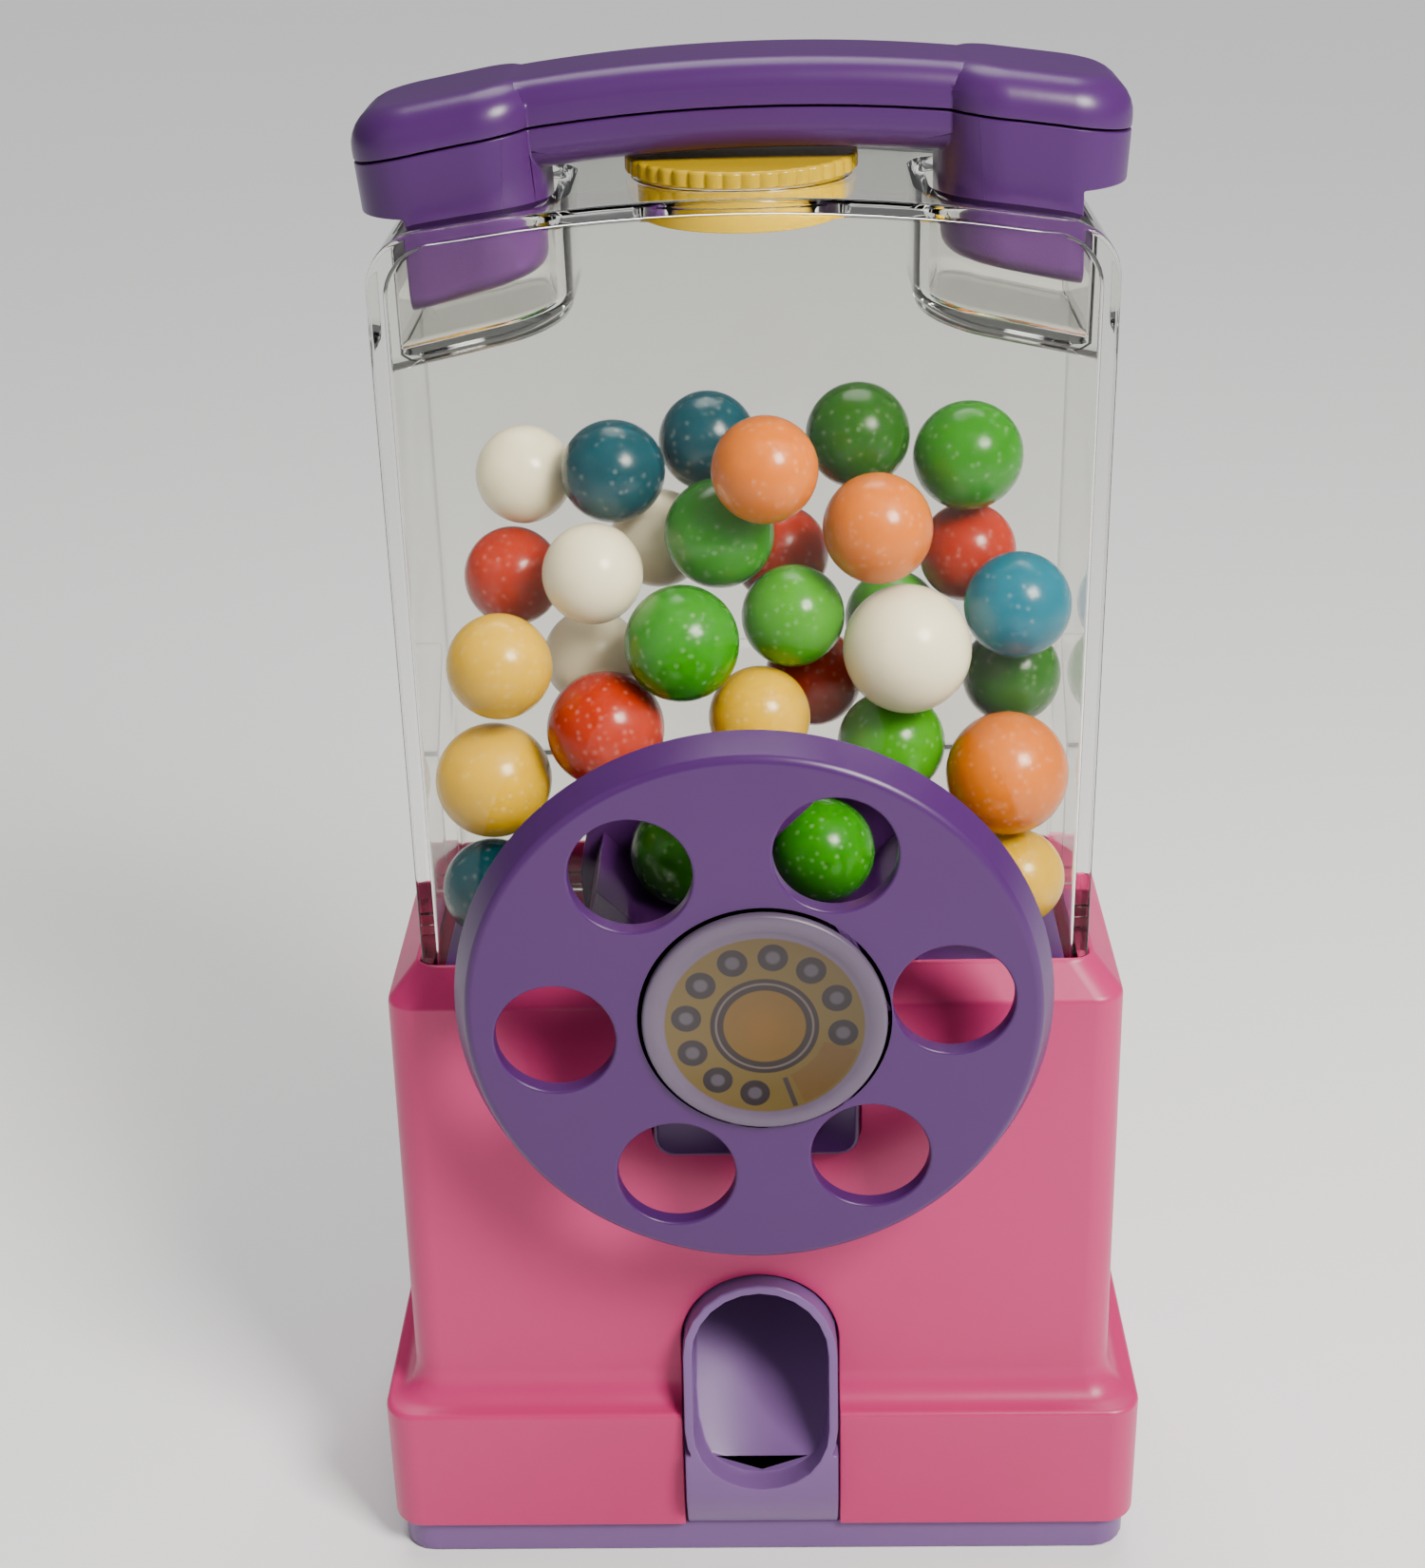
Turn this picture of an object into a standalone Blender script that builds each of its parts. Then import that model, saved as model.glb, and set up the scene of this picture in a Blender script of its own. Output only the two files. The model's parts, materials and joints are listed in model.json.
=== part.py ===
"""Toy gumball machine shaped like a telephone.

Frame: +Z up, the dial faces -Y, the origin is the middle of the base plate's underside.
Turned pieces on the dial's axis are drawn with their height h measured forwards, towards -Y.
"""
import math

import bmesh
import bpy
from mathutils import Matrix, Vector

MM = 0.001

# Base: a tapered box on a wider foot, closed by a plate
FOOT_HALF_X = 58.0 * MM
FOOT_HALF_Y = 30.3 * MM
FOOT_STEP = 4.6 * MM
FOOT_RADIUS = 5.0 * MM
FOOT_TOP = 27.6 * MM
COVE_HEIGHT = 5.4 * MM
BODY_TAPER = 0.8 * MM
SHOULDER_LOW = 97.1 * MM
SHOULDER_RISE = 4.2 * MM
NECK_RIM = 0.6 * MM
SHELL_WALL = 2.0 * MM
PLATE_TOP = 5.7 * MM
PLATE_INSET = 1.2 * MM
BOSS_RADIUS = 3.8 * MM
BOSS_X = 48.4 * MM
BOSS_Y = 20.6 * MM

# Hopper: a clear box with a crowned top, one pocket for each end of the handset
HOPPER_HALF_X = 47.7 * MM
HOPPER_HALF_Y = 20.0 * MM
HOPPER_WALL = 2.0 * MM
HOPPER_BOTTOM = 93.4 * MM
HOPPER_TOP = 209.4 * MM
CROWN_RADIUS = 240.0 * MM
HOPPER_CORNER = 8.0 * MM
HOPPER_EDGE = 3.6 * MM
FLANGE = 2.2 * MM
POCKET_INNER_X = 24.2 * MM
POCKET_OUTER_X = 44.4 * MM
POCKET_HALF_Y = 14.0 * MM
POCKET_CORNER = 7.0 * MM
POCKET_FLOOR = 194.0 * MM
POCKET_SLOPE = math.radians(12.5)

# Handset
HANDSET_HALF_X = 50.6 * MM
GRIP_TOP = 224.5 * MM
GRIP_BOTTOM = 213.1 * MM
GRIP_HALF_Y = 9.6 * MM
END_INNER_X = 25.3 * MM
END_SEAT_X = 43.3 * MM
END_HALF_Y = 13.2 * MM
END_CORNER = 9.0 * MM
END_BOTTOM = 199.4 * MM
END_LIP = 207.0 * MM
HANDSET_WALL = 1.8 * MM
HANDSET_TILT = math.radians(-1.3)
SEAM_HEIGHT = 218.7 * MM
HANDSET_SCREW_X = 35.0 * MM

# Dial and dispensing wheel, on one shaft
AXIS_Z = 102.8 * MM
DIAL_RADIUS = 41.3 * MM
DIAL_FACE = 39.3 * MM
DIAL_THICKNESS = 4.8 * MM
DIAL_PLATE = 2.7 * MM
FINGER_RADIUS = 8.5 * MM
FINGER_CIRCLE = 27.3 * MM
FINGER_COUNT = 6
FINGER_START = math.radians(5.9)
LABEL_RADIUS = 16.7 * MM
LABEL_SHIFT = 1.5 * MM
SHAFT_RADIUS = 3.0 * MM
SHAFT_FRONT = 34.6 * MM
SHAFT_BACK = -8.6 * MM
HUB_RADIUS = 8.5 * MM
HUB_BACK = 29.6 * MM
WHEEL_RADIUS = 24.0 * MM
WHEEL_FRONT = 17.1 * MM
WHEEL_BACK = -1.9 * MM
POCKET_COUNT = 4
BALL_POCKET = 9.5 * MM
BALL_DISTANCE = 14.1 * MM

# Hopper floor: side slopes down to the wheel, and a shelf behind it
SLOPE_TOP = 99.8 * MM
SHELF_FRONT = 4.8 * MM
SHELF_BEND = 124.0 * MM
SHELF_SLOPE = math.radians(43)

# Outlet
OUTLET_HALF_X = 10.3 * MM
OUTLET_LOW = 15.3 * MM
OUTLET_HIGH = 48.4 * MM
OUTLET_LEAN = 0.165
RAMP_FRONT = -29.5 * MM
OUTLET_WALL = 1.4 * MM
OUTLET_FRONT = 33.0 * MM

# Refill cap
CAP_RADIUS = 15.3 * MM
CAP_NECK = 13.6 * MM
CAP_TOP = 211.7 * MM

RUNNING = 0.3 * MM
LOOSE = 1.0 * MM
MERGE = 0.00001

PURPLE = (0.105, 0.045, 0.235)
LILAC = (0.21, 0.165, 0.39)
PINK = (0.58, 0.07, 0.19)
YELLOW = (0.68, 0.52, 0.02)
CLEAR = (0.88, 0.90, 0.86)
STEEL = (0.60, 0.60, 0.62)
CREAM = (0.62, 0.60, 0.56)

BALL_COLOURS = {
    "white": (0.75, 0.72, 0.66),
    "yellow": (0.85, 0.62, 0.02),
    "orange": (0.86, 0.34, 0.05),
    "red": (0.62, 0.08, 0.03),
    "green": (0.10, 0.38, 0.04),
    "mint": (0.20, 0.50, 0.12),
    "forest": (0.05, 0.22, 0.03),
    "teal": (0.01, 0.16, 0.24),
    "blue": (0.01, 0.22, 0.36),
}


# ---- making solids ----

def clear_scene():
    for obj in list(bpy.data.objects):
        bpy.data.objects.remove(obj, do_unlink=True)


def new_collection(name):
    collection = bpy.data.collections.new(name)
    bpy.context.scene.collection.children.link(collection)
    return collection


def material(name, colour, roughness, metallic=0.0, alpha=1.0):
    mat = bpy.data.materials.new(name)
    mat.use_nodes = True
    shader = mat.node_tree.nodes["Principled BSDF"]
    shader.inputs["Base Color"].default_value = (*colour, 1.0)
    shader.inputs["Roughness"].default_value = roughness
    shader.inputs["Metallic"].default_value = metallic
    shader.inputs["Alpha"].default_value = alpha
    return mat


def place(obj, collection):
    for owner in list(obj.users_collection):
        owner.objects.unlink(obj)
    collection.objects.link(obj)
    return obj


def from_bmesh(bm, name):
    mesh = bpy.data.meshes.new(name)
    bm.to_mesh(mesh)
    bm.free()
    obj = bpy.data.objects.new(name, mesh)
    bpy.context.scene.collection.objects.link(obj)
    return obj


def baked(obj):
    """Replace an object by a plain mesh of its evaluated shape, in world space."""
    graph = bpy.context.evaluated_depsgraph_get()
    graph.update()
    mesh = bpy.data.meshes.new_from_object(obj.evaluated_get(graph))
    mesh.transform(obj.matrix_world)
    bm = bmesh.new()
    bm.from_mesh(mesh)
    bmesh.ops.remove_doubles(bm, verts=bm.verts, dist=MERGE)
    bm.to_mesh(mesh)
    bm.free()
    name = obj.name
    bpy.data.objects.remove(obj, do_unlink=True)
    result = bpy.data.objects.new(name, mesh)
    bpy.context.scene.collection.objects.link(result)
    return result


def outline(name, loops, low, high, facing="FRONT"):
    """A flat outline, with holes, given a thickness.

    FRONT outlines are drawn in X and Z and run from Y = low to high, SIDE ones in Y and Z
    along X, and TOP ones in X and Y along Z.
    """
    curve = bpy.data.curves.new(name, "CURVE")
    curve.dimensions = "2D"
    curve.fill_mode = "BOTH"
    curve.extrude = (high - low) / 2
    for loop in loops:
        spline = curve.splines.new("POLY")
        spline.points.add(len(loop) - 1)
        spline.use_cyclic_u = True
        for point, (u, v) in zip(spline.points, loop):
            point.co = (u, v, 0.0, 1.0)
    obj = bpy.data.objects.new(name, curve)
    bpy.context.scene.collection.objects.link(obj)
    middle = (high + low) / 2
    if facing == "FRONT":
        obj.matrix_world = Matrix.Translation((0, middle, 0)) @ Matrix.Rotation(math.pi / 2, 4, "X")
    elif facing == "SIDE":
        turn = Matrix.Rotation(math.pi / 2, 4, "Z") @ Matrix.Rotation(math.pi / 2, 4, "X")
        obj.matrix_world = Matrix.Translation((middle, 0, 0)) @ turn
    else:
        obj.matrix_world = Matrix.Translation((0, 0, middle))
    bpy.context.view_layer.update()
    return flattened(baked(obj))


def flattened(obj):
    """Join the triangles of each flat face into one face."""
    bm = bmesh.new()
    bm.from_mesh(obj.data)
    bmesh.ops.dissolve_limit(bm, angle_limit=math.radians(0.3), verts=bm.verts, edges=bm.edges)
    bm.to_mesh(obj.data)
    bm.free()
    return obj


def turned(name, profile, steps=48, front=False):
    """A profile of radius and height, top to bottom, turned about Z, or about the dial's axis."""
    bm = bmesh.new()
    verts = [bm.verts.new((radius, 0.0, height)) for radius, height in profile]
    for first, second in zip(verts, verts[1:]):
        bm.edges.new((first, second))
    obj = from_bmesh(bm, name)
    screw = obj.modifiers.new("Turn", "SCREW")
    screw.steps = steps
    screw.render_steps = steps
    screw.use_merge_vertices = True
    screw.merge_threshold = MERGE
    if front:
        obj.matrix_world = Matrix.Translation((0, 0, AXIS_Z)) @ Matrix.Rotation(math.pi / 2, 4, "X")
    bpy.context.view_layer.update()
    return baked(obj)


def cylinder(name, radius, low, high, centre=(0.0, 0.0), front=False, sides=32):
    """A rod along Z, or along the dial's axis, where low and high run forwards."""
    bm = bmesh.new()
    bmesh.ops.create_cone(
        bm, cap_ends=True, segments=sides, radius1=radius, radius2=radius, depth=high - low)
    bmesh.ops.translate(bm, verts=bm.verts, vec=(centre[0], centre[1], (low + high) / 2))
    obj = from_bmesh(bm, name)
    if front:
        obj.matrix_world = Matrix.Translation((0, 0, AXIS_Z)) @ Matrix.Rotation(math.pi / 2, 4, "X")
        bpy.context.view_layer.update()
    return baked(obj)


def box(name, low, high):
    bm = bmesh.new()
    bmesh.ops.create_cube(bm, size=1.0)
    size = Vector(high) - Vector(low)
    bmesh.ops.scale(bm, vec=size, verts=bm.verts)
    bmesh.ops.translate(bm, verts=bm.verts, vec=(Vector(high) + Vector(low)) / 2)
    return from_bmesh(bm, name)


def rounded(obj, width, segments=3, angle=50.0):
    """Round the sharp edges of a solid."""
    bevel = obj.modifiers.new("Round", "BEVEL")
    bevel.width = width
    bevel.segments = segments
    bevel.limit_method = "ANGLE"
    bevel.angle_limit = math.radians(angle)
    bevel.use_clamp_overlap = True
    bpy.context.view_layer.update()
    return baked(obj)


def combine(obj, others, operation):
    """Join, cut or intersect a solid with others, which are used up."""
    for other in others:
        boolean = obj.modifiers.new("Cut", "BOOLEAN")
        boolean.operation = operation
        boolean.object = other
        boolean.solver = "EXACT"
        bpy.context.view_layer.update()
        obj = baked(obj)
        bpy.data.objects.remove(other, do_unlink=True)
    return obj


def cut(obj, *others):
    return combine(obj, others, "DIFFERENCE")


def join(obj, *others):
    return combine(obj, others, "UNION")


def keep(obj, *others):
    return combine(obj, others, "INTERSECT")


def finish(obj, name, mat, parent=None):
    """Name a finished piece, put its origin on its joint and file it with the others."""
    obj.name = name
    obj.data.name = name
    obj.data.materials.clear()
    obj.data.materials.append(mat)
    obj.data.shade_smooth()
    obj.data.set_sharp_from_angle(angle=math.radians(35))
    if parent is not None:
        obj.data.transform(parent.matrix_world.inverted())
        obj.parent = parent
    return place(obj, PIECES)


# ---- outlines ----

def arc(cx, cz, radius, start, end, count):
    """Points on an arc, angles in degrees, both ends included."""
    points = []
    for i in range(count + 1):
        angle = math.radians(start + (end - start) * i / count)
        points.append((cx + radius * math.cos(angle), cz + radius * math.sin(angle)))
    return points


def circle(cx, cz, radius, count=32):
    return arc(cx, cz, radius, 0, 360, count)[:-1]


def rounded_rectangle(half_x, half_y, radius, count=5):
    """A rectangle about the origin with round corners, anticlockwise."""
    points = []
    for sx, sy, start in ((1, 1, 0), (-1, 1, 90), (-1, -1, 180), (1, -1, 270)):
        centre = (sx * (half_x - radius), sy * (half_y - radius))
        points += arc(*centre, radius, start, start + 90, count)
    return points


def crown(x, top):
    """Height at x of an edge that is crowned like the hopper's top."""
    return top - x * x / (2 * CROWN_RADIUS)


def mirrored(points):
    """Close the right half of an outline, which runs upwards, with its left half."""
    return points + [(-x, z) for x, z in reversed(points) if abs(x) > MERGE]


def hopper_outline(inset, bottom):
    """The hopper from the front: straight sides, round corners and a crowned top."""
    side = HOPPER_HALF_X - inset
    corner = HOPPER_CORNER - inset
    centre_x = side - corner
    top = HOPPER_TOP - inset
    centre_z = crown(centre_x, top) - corner
    points = [(side, bottom)]
    points += arc(centre_x, centre_z, corner, 0, 80, 6)
    points += [(centre_x * share, crown(centre_x * share, top)) for share in (0.8, 0.5, 0.25, 0.0)]
    return mirrored(points)


def obround(half_x, low, high, count=12):
    """An upright slot with round ends."""
    return (arc(0, high - half_x, half_x, 0, 180, count)
            + arc(0, low + half_x, half_x, 180, 360, count))


# ---- base ----

def base_sections():
    """Half sizes and corner radius of the base shell's outside, from the floor upwards."""
    body_x = FOOT_HALF_X - FOOT_STEP
    body_y = FOOT_HALF_Y - FOOT_STEP
    neck_x = HOPPER_HALF_X + RUNNING + NECK_RIM
    neck_y = HOPPER_HALF_Y + RUNNING + NECK_RIM
    edge = 0.9 * MM
    sections = [(PLATE_TOP + RUNNING, FOOT_HALF_X, FOOT_HALF_Y, FOOT_RADIUS)]
    sections.append((FOOT_TOP - edge, FOOT_HALF_X, FOOT_HALF_Y, FOOT_RADIUS))
    sections.append((FOOT_TOP, FOOT_HALF_X - edge, FOOT_HALF_Y - edge, FOOT_RADIUS - edge))
    for share in (0.35, 0.7, 1.0):
        angle = share * math.pi / 2
        reach = (FOOT_STEP - edge) * (1 - math.sin(angle))
        height = FOOT_TOP + COVE_HEIGHT * (1 - math.cos(angle))
        sections.append((height, body_x + reach, body_y + reach, FOOT_RADIUS - edge))
    top_x = body_x - BODY_TAPER
    top_y = body_y - BODY_TAPER / 2
    sections.append((SHOULDER_LOW - edge, top_x, top_y, FOOT_RADIUS - edge))
    sections.append((SHOULDER_LOW, top_x - edge / 2, top_y - edge / 2, FOOT_RADIUS - edge))
    sections.append((SHOULDER_LOW + SHOULDER_RISE, neck_x, neck_y, HOPPER_EDGE + RUNNING + NECK_RIM))
    return sections


def lofted_wall(name, sections):
    """An open skin through a stack of rounded rectangles."""
    bm = bmesh.new()
    rings = []
    for height, half_x, half_y, radius in sections:
        ring = [bm.verts.new((x, y, height)) for x, y in rounded_rectangle(half_x, half_y, radius, 4)]
        rings.append(ring)
    for low, high in zip(rings, rings[1:]):
        for i in range(len(low)):
            j = (i + 1) % len(low)
            bm.faces.new((low[i], low[j], high[j], high[i]))
    return from_bmesh(bm, name)


def boss_places():
    return [(sx * BOSS_X, sy * BOSS_Y) for sx in (1, -1) for sy in (1, -1)]


def base_shell():
    """Pink housing: one wall from the foot to the shoulder, notched for bracket and outlet."""
    shell = lofted_wall("base_shell", base_sections())
    solid = shell.modifiers.new("Wall", "SOLIDIFY")
    solid.thickness = SHELL_WALL
    solid.offset = -1.0
    bpy.context.view_layer.update()
    shell = baked(shell)
    for place_xy in boss_places():
        boss = cylinder("boss", BOSS_RADIUS, PLATE_TOP + LOOSE, 90 * MM, place_xy, sides=16)
        pilot = cylinder("pilot", 1.3 * MM, 0, 22 * MM, place_xy, sides=12)
        shell = cut(join(shell, boss), pilot)
    neck = rounded_rectangle(HOPPER_HALF_X + RUNNING, HOPPER_HALF_Y + RUNNING, HOPPER_EDGE + RUNNING)
    shell = cut(shell, outline("neck", [neck], SHOULDER_LOW - 8 * MM, 120 * MM, "TOP"))
    gap = OUTLET_WALL + RUNNING
    slot = obround(OUTLET_HALF_X + gap, OUTLET_LOW - 30 * MM, OUTLET_HIGH + gap)
    notch = bracket_outline(RUNNING)
    front = -FOOT_HALF_Y - 10 * MM
    shell = cut(shell, outline("slot", [slot], front, -15 * MM))
    shell = cut(shell, outline("notch", [notch], front, -15 * MM))
    return finish(shell, "base_shell", PINK_PLASTIC)


def base_plate():
    """Plate that closes the base, with a countersunk hole under each boss."""
    half_x = FOOT_HALF_X - PLATE_INSET
    half_y = FOOT_HALF_Y - PLATE_INSET
    plate = outline("base_plate", [rounded_rectangle(half_x, half_y, FOOT_RADIUS)], 0, PLATE_TOP, "TOP")
    for place_xy in boss_places():
        hole = cylinder("hole", 1.9 * MM, -1 * MM, 8 * MM, place_xy, sides=16)
        sink = cylinder("sink", 3.4 * MM, -1 * MM, 3 * MM, place_xy, sides=16)
        plate = cut(plate, hole, sink)
    return finish(plate, "base_plate", LILAC_PLASTIC)


def screw_solid(name, place_xy, head_low, length, head_radius=3.0 * MM, shank_radius=1.2 * MM):
    """A pan head screw that points up."""
    x, y = place_xy
    profile = [(0, head_low + length), (shank_radius, head_low + length - 1 * MM),
               (shank_radius, head_low + 2 * MM), (head_radius, head_low + 2 * MM),
               (head_radius, head_low + 0.6 * MM), (head_radius - 0.6 * MM, head_low), (0, head_low)]
    screw = turned(name, profile, 12)
    screw.data.transform(Matrix.Translation((x, y, 0)))
    return screw


def base_screws():
    """Four screws from below into the shell's bosses."""
    for i, place_xy in enumerate(boss_places(), 1):
        finish(screw_solid("base_screw", place_xy, 0.6 * MM, 14 * MM), f"base_screw_{i}", STEEL_METAL)


def outlet_chute():
    """Outlet surround, ramp and drop shaft, moulded in one."""
    outer_x = OUTLET_HALF_X + OUTLET_WALL
    rim = obround(outer_x, OUTLET_LOW - OUTLET_WALL, OUTLET_HIGH + OUTLET_WALL)
    ring = outline("outlet_chute", [rim], -OUTLET_FRONT, -16 * MM)
    skirt = outline("skirt", [chute_side()], -outer_x, outer_x, "SIDE")
    tower = box("tower", (-outer_x, -19.5 * MM, PLATE_TOP + RUNNING), (outer_x, 6.6 * MM, 74.8 * MM))
    chute = cut(join(ring, skirt, tower), lean_cutter())
    opening = obround(OUTLET_HALF_X, OUTLET_LOW, OUTLET_HIGH)
    mouth = outline("mouth", [opening], -50 * MM, RAMP_FRONT + 0.5 * MM)
    throat = keep(outline("throat", [opening], -50 * MM, -12 * MM), ramp_cutter())
    foot = keep(box("foot", (-OUTLET_HALF_X, -17.9 * MM, 0), (OUTLET_HALF_X, 4.6 * MM, 50 * MM)), ramp_cutter())
    return finish(cut(chute, mouth, throat, foot, shaft_cutter()), "outlet_chute", LILAC_PLASTIC)


def lean_cutter():
    """Everything in front of the surround's face, which leans back towards its top."""
    start, low, high = 18.2 * MM, 14 * MM, 60 * MM
    points = [(-OUTLET_FRONT + OUTLET_LEAN * (low - start), low), (-40 * MM, low), (-40 * MM, high)]
    points += [(-OUTLET_FRONT + OUTLET_LEAN * (high - start), high)]
    return outline("lean", [points], -15 * MM, 15 * MM, "SIDE")


def chute_side():
    """Side view of the skirt below the surround: it leans back to the base plate."""
    low = PLATE_TOP + RUNNING
    back, top = -15 * MM, OUTLET_LOW + 6 * MM
    return [(-OUTLET_FRONT, top), (-OUTLET_FRONT, OUTLET_LOW - 2.4 * MM),
            (-30.6 * MM, low + 1.5 * MM), (-29.6 * MM, low), (back, low), (back, top)]


def ramp_cutter():
    """Space above a steep ramp with a valley down its middle, from the shaft to the mouth."""
    back = 4.6 * MM
    valley, edge = 4.6 * MM, OUTLET_HALF_X + 2 * MM
    low, high = OUTLET_LOW + 0.6 * MM, 40 * MM
    bm = bmesh.new()
    rings = []
    for y, floor in ((RAMP_FRONT, low), (back, high)):
        points = [(-edge, floor + valley), (0, floor), (edge, floor + valley)]
        points += [(edge, 60 * MM), (-edge, 60 * MM)]
        rings.append([bm.verts.new((x, y, z)) for x, z in points])
    count = len(rings[0])
    for i in range(count):
        j = (i + 1) % count
        bm.faces.new((rings[0][j], rings[0][i], rings[1][i], rings[1][j]))
    bm.faces.new(rings[0])
    bm.faces.new(list(reversed(rings[1])))
    bmesh.ops.recalc_face_normals(bm, faces=bm.faces)
    return from_bmesh(bm, "ramp_space")


def shaft_cutter():
    return box("shaft_space", (-OUTLET_HALF_X, -17.9 * MM, 40 * MM), (OUTLET_HALF_X, 4.6 * MM, 90 * MM))


# ---- hopper and mechanism housing ----

def hopper():
    """Clear box, open below, with a refill hole and two pockets in its top."""
    face = hopper_outline(0, HOPPER_BOTTOM - 12 * MM)
    outer = rounded(outline("hopper", [face], -HOPPER_HALF_Y, HOPPER_HALF_Y), HOPPER_EDGE)
    depth = HOPPER_HALF_Y - HOPPER_WALL
    inner = outline("inside", [hopper_outline(HOPPER_WALL, HOPPER_BOTTOM - 24 * MM)], -depth, depth)
    inner = rounded(inner, HOPPER_EDGE - HOPPER_WALL)
    for side in (1, -1):
        inner = cut(inner, pocket_block(side, HOPPER_WALL, "wall"))
    body = cut(outer, inner)
    for side in (1, -1):
        body = cut(body, pocket_block(side, 0.0, "pocket"))
    body = cut(body, cylinder("refill_hole", CAP_NECK + 0.6 * MM, 200 * MM, 220 * MM))
    shaft_hole = cylinder("shaft_hole", SHAFT_RADIUS + 0.9 * MM, 10 * MM, 30 * MM, front=True, sides=20)
    body = cut(body, shaft_hole)
    low = box("below", (-70 * MM, -40 * MM, 60 * MM), (70 * MM, 40 * MM, HOPPER_BOTTOM))
    body = cut(body, low)
    body = join(body, hopper_flange())
    return finish(body, "hopper", CLEAR_PLASTIC)


def hopper_flange():
    """Rim round the hopper's foot, caught under the base's shoulder."""
    rim = rounded_rectangle(HOPPER_HALF_X + FLANGE, HOPPER_HALF_Y + FLANGE, 3 * MM)
    depth = HOPPER_HALF_Y - HOPPER_WALL / 2
    hole = rounded_rectangle(HOPPER_HALF_X - HOPPER_WALL / 2, depth, HOPPER_EDGE - HOPPER_WALL / 2)
    flange = outline("flange", [rim, hole], HOPPER_BOTTOM, HOPPER_BOTTOM + 1.8 * MM, "TOP")
    notch = outline("flange_notch", [bracket_outline(RUNNING)], -40 * MM, -HOPPER_HALF_Y - RUNNING)
    return cut(flange, notch)


def pocket_block(side, wall, name):
    """A pocket's space, or with a wall the block that it is cut from; its floor slopes."""
    inner = POCKET_INNER_X - wall
    outer = POCKET_OUTER_X + (3 * MM if wall else 0.0)
    drop = math.tan(POCKET_SLOPE) * (outer - inner)
    floor = POCKET_FLOOR - wall
    points = [(inner, floor), (outer, floor - drop), (outer, 225 * MM), (inner, 225 * MM)]
    points = [(side * x, z) for x, z in points]
    half_y = POCKET_HALF_Y + wall
    block = outline(f"{name}_{side}", [points], -half_y, half_y)
    block = rounded(block, 1.2 * MM + wall, 2)
    return keep(block, plan_prism(side, inner, outer + 2 * POCKET_CORNER, half_y, POCKET_CORNER + wall))


def plan_prism(side, inner, outer, half_y, corner):
    """Upright prism on one side of the middle, a rectangle with round corners from above."""
    half_x = (outer - inner) / 2
    middle = side * (outer + inner) / 2
    loop = [(middle + x, y) for x, y in rounded_rectangle(half_x, half_y, corner, 6)]
    return outline("plan", [loop], 150 * MM, 260 * MM, "TOP")


def trough_outline(side):
    """Half of the floor from the front: a slope down to the wheel, then round under it."""
    inner = WHEEL_RADIUS + 0.7 * MM
    wall = 2.0 * MM
    reach = HOPPER_HALF_X - HOPPER_WALL - LOOSE
    slot = 66.0
    rim = 22.0
    outer_arc = arc(0, AXIS_Z, inner + wall, -slot, -rim - 6, 6)
    inner_arc = arc(0, AXIS_Z, inner, -rim, -slot, 7)
    points = outer_arc + [(reach, SLOPE_TOP - 2.2 * MM), (reach, SLOPE_TOP)] + inner_arc
    return [(side * x, z) for x, z in points]


def wheel_trough():
    """Hopper floor and wheel housing, open below so that a ball drops out."""
    front, back = -17.6 * MM, 4.4 * MM
    wall = 2.0 * MM
    trough = outline("wheel_trough", [trough_outline(1)], front, back)
    left = outline("left", [trough_outline(-1)], front, back)
    rear = outline("rear", [trough_wall(AXIS_Z + WHEEL_RADIUS - 6 * MM)], back - wall, back)
    face = outline("face", [trough_wall(HOPPER_BOTTOM - RUNNING)], front - 1.6 * MM, front + 0.2 * MM)
    trough = join(trough, rear, left, face)
    bore = cylinder("bore", SHAFT_RADIUS + RUNNING, -20 * MM, 10 * MM, front=True, sides=24)
    return finish(cut(trough, bore), "wheel_trough", PURPLE_PLASTIC)


def trough_wall(top):
    """End wall of the trough: its round bottom, cut off level at the top."""
    radius = WHEEL_RADIUS + 2.2 * MM
    angle = math.degrees(math.asin((top - AXIS_Z) / radius))
    return arc(0, AXIS_Z, radius, -180 - angle, angle, 20)


def rear_baffle():
    """Clear sloping shelf behind the wheel that rolls the balls forwards."""
    front, back = SHELF_FRONT, HOPPER_HALF_Y - HOPPER_WALL - RUNNING
    wall = 1.8 * MM
    top = SHELF_BEND + math.tan(SHELF_SLOPE) * (back - front)
    points = [(front, 99.9 * MM), (front + wall, 99.9 * MM), (front + wall, SHELF_BEND - wall)]
    points += [(back, top - wall), (back, top), (front, SHELF_BEND)]
    reach = HOPPER_HALF_X - HOPPER_WALL - LOOSE
    baffle = outline("rear_baffle", [points], -reach, reach, "SIDE")
    hole = cylinder("clip_hole", 5.2 * MM, -20 * MM, 0, front=True, sides=24)
    return finish(cut(baffle, hole), "rear_baffle", CLEAR_PLASTIC)


def bracket_outline(gap=0.0):
    """Bearing bracket from the front: a square tongue with a round nose about the axis."""
    half, low, nose = 14.9 * MM + gap, 73.2 * MM - gap, 10.4 * MM + gap
    corner = 3.0 * MM
    points = arc(half - corner, low + corner, corner, -90, 0, 4)
    points += [(half, 92 * MM)]
    points += arc(0, AXIS_Z, nose, 0, 90, 8)
    return mirrored(points)


def bearing_bracket():
    """Purple tongue in the shell's notch that carries the shaft."""
    bracket = outline("bearing_bracket", [bracket_outline()], -28.4 * MM, -HOPPER_HALF_Y - 2.6 * MM)
    bracket = rounded(bracket, 0.6 * MM, 1)
    bore = cylinder("bore", SHAFT_RADIUS + RUNNING, 10 * MM, 40 * MM, front=True, sides=24)
    return finish(cut(bracket, bore), "bearing_bracket", PURPLE_PLASTIC)


# ---- dial, shaft and wheel ----

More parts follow.
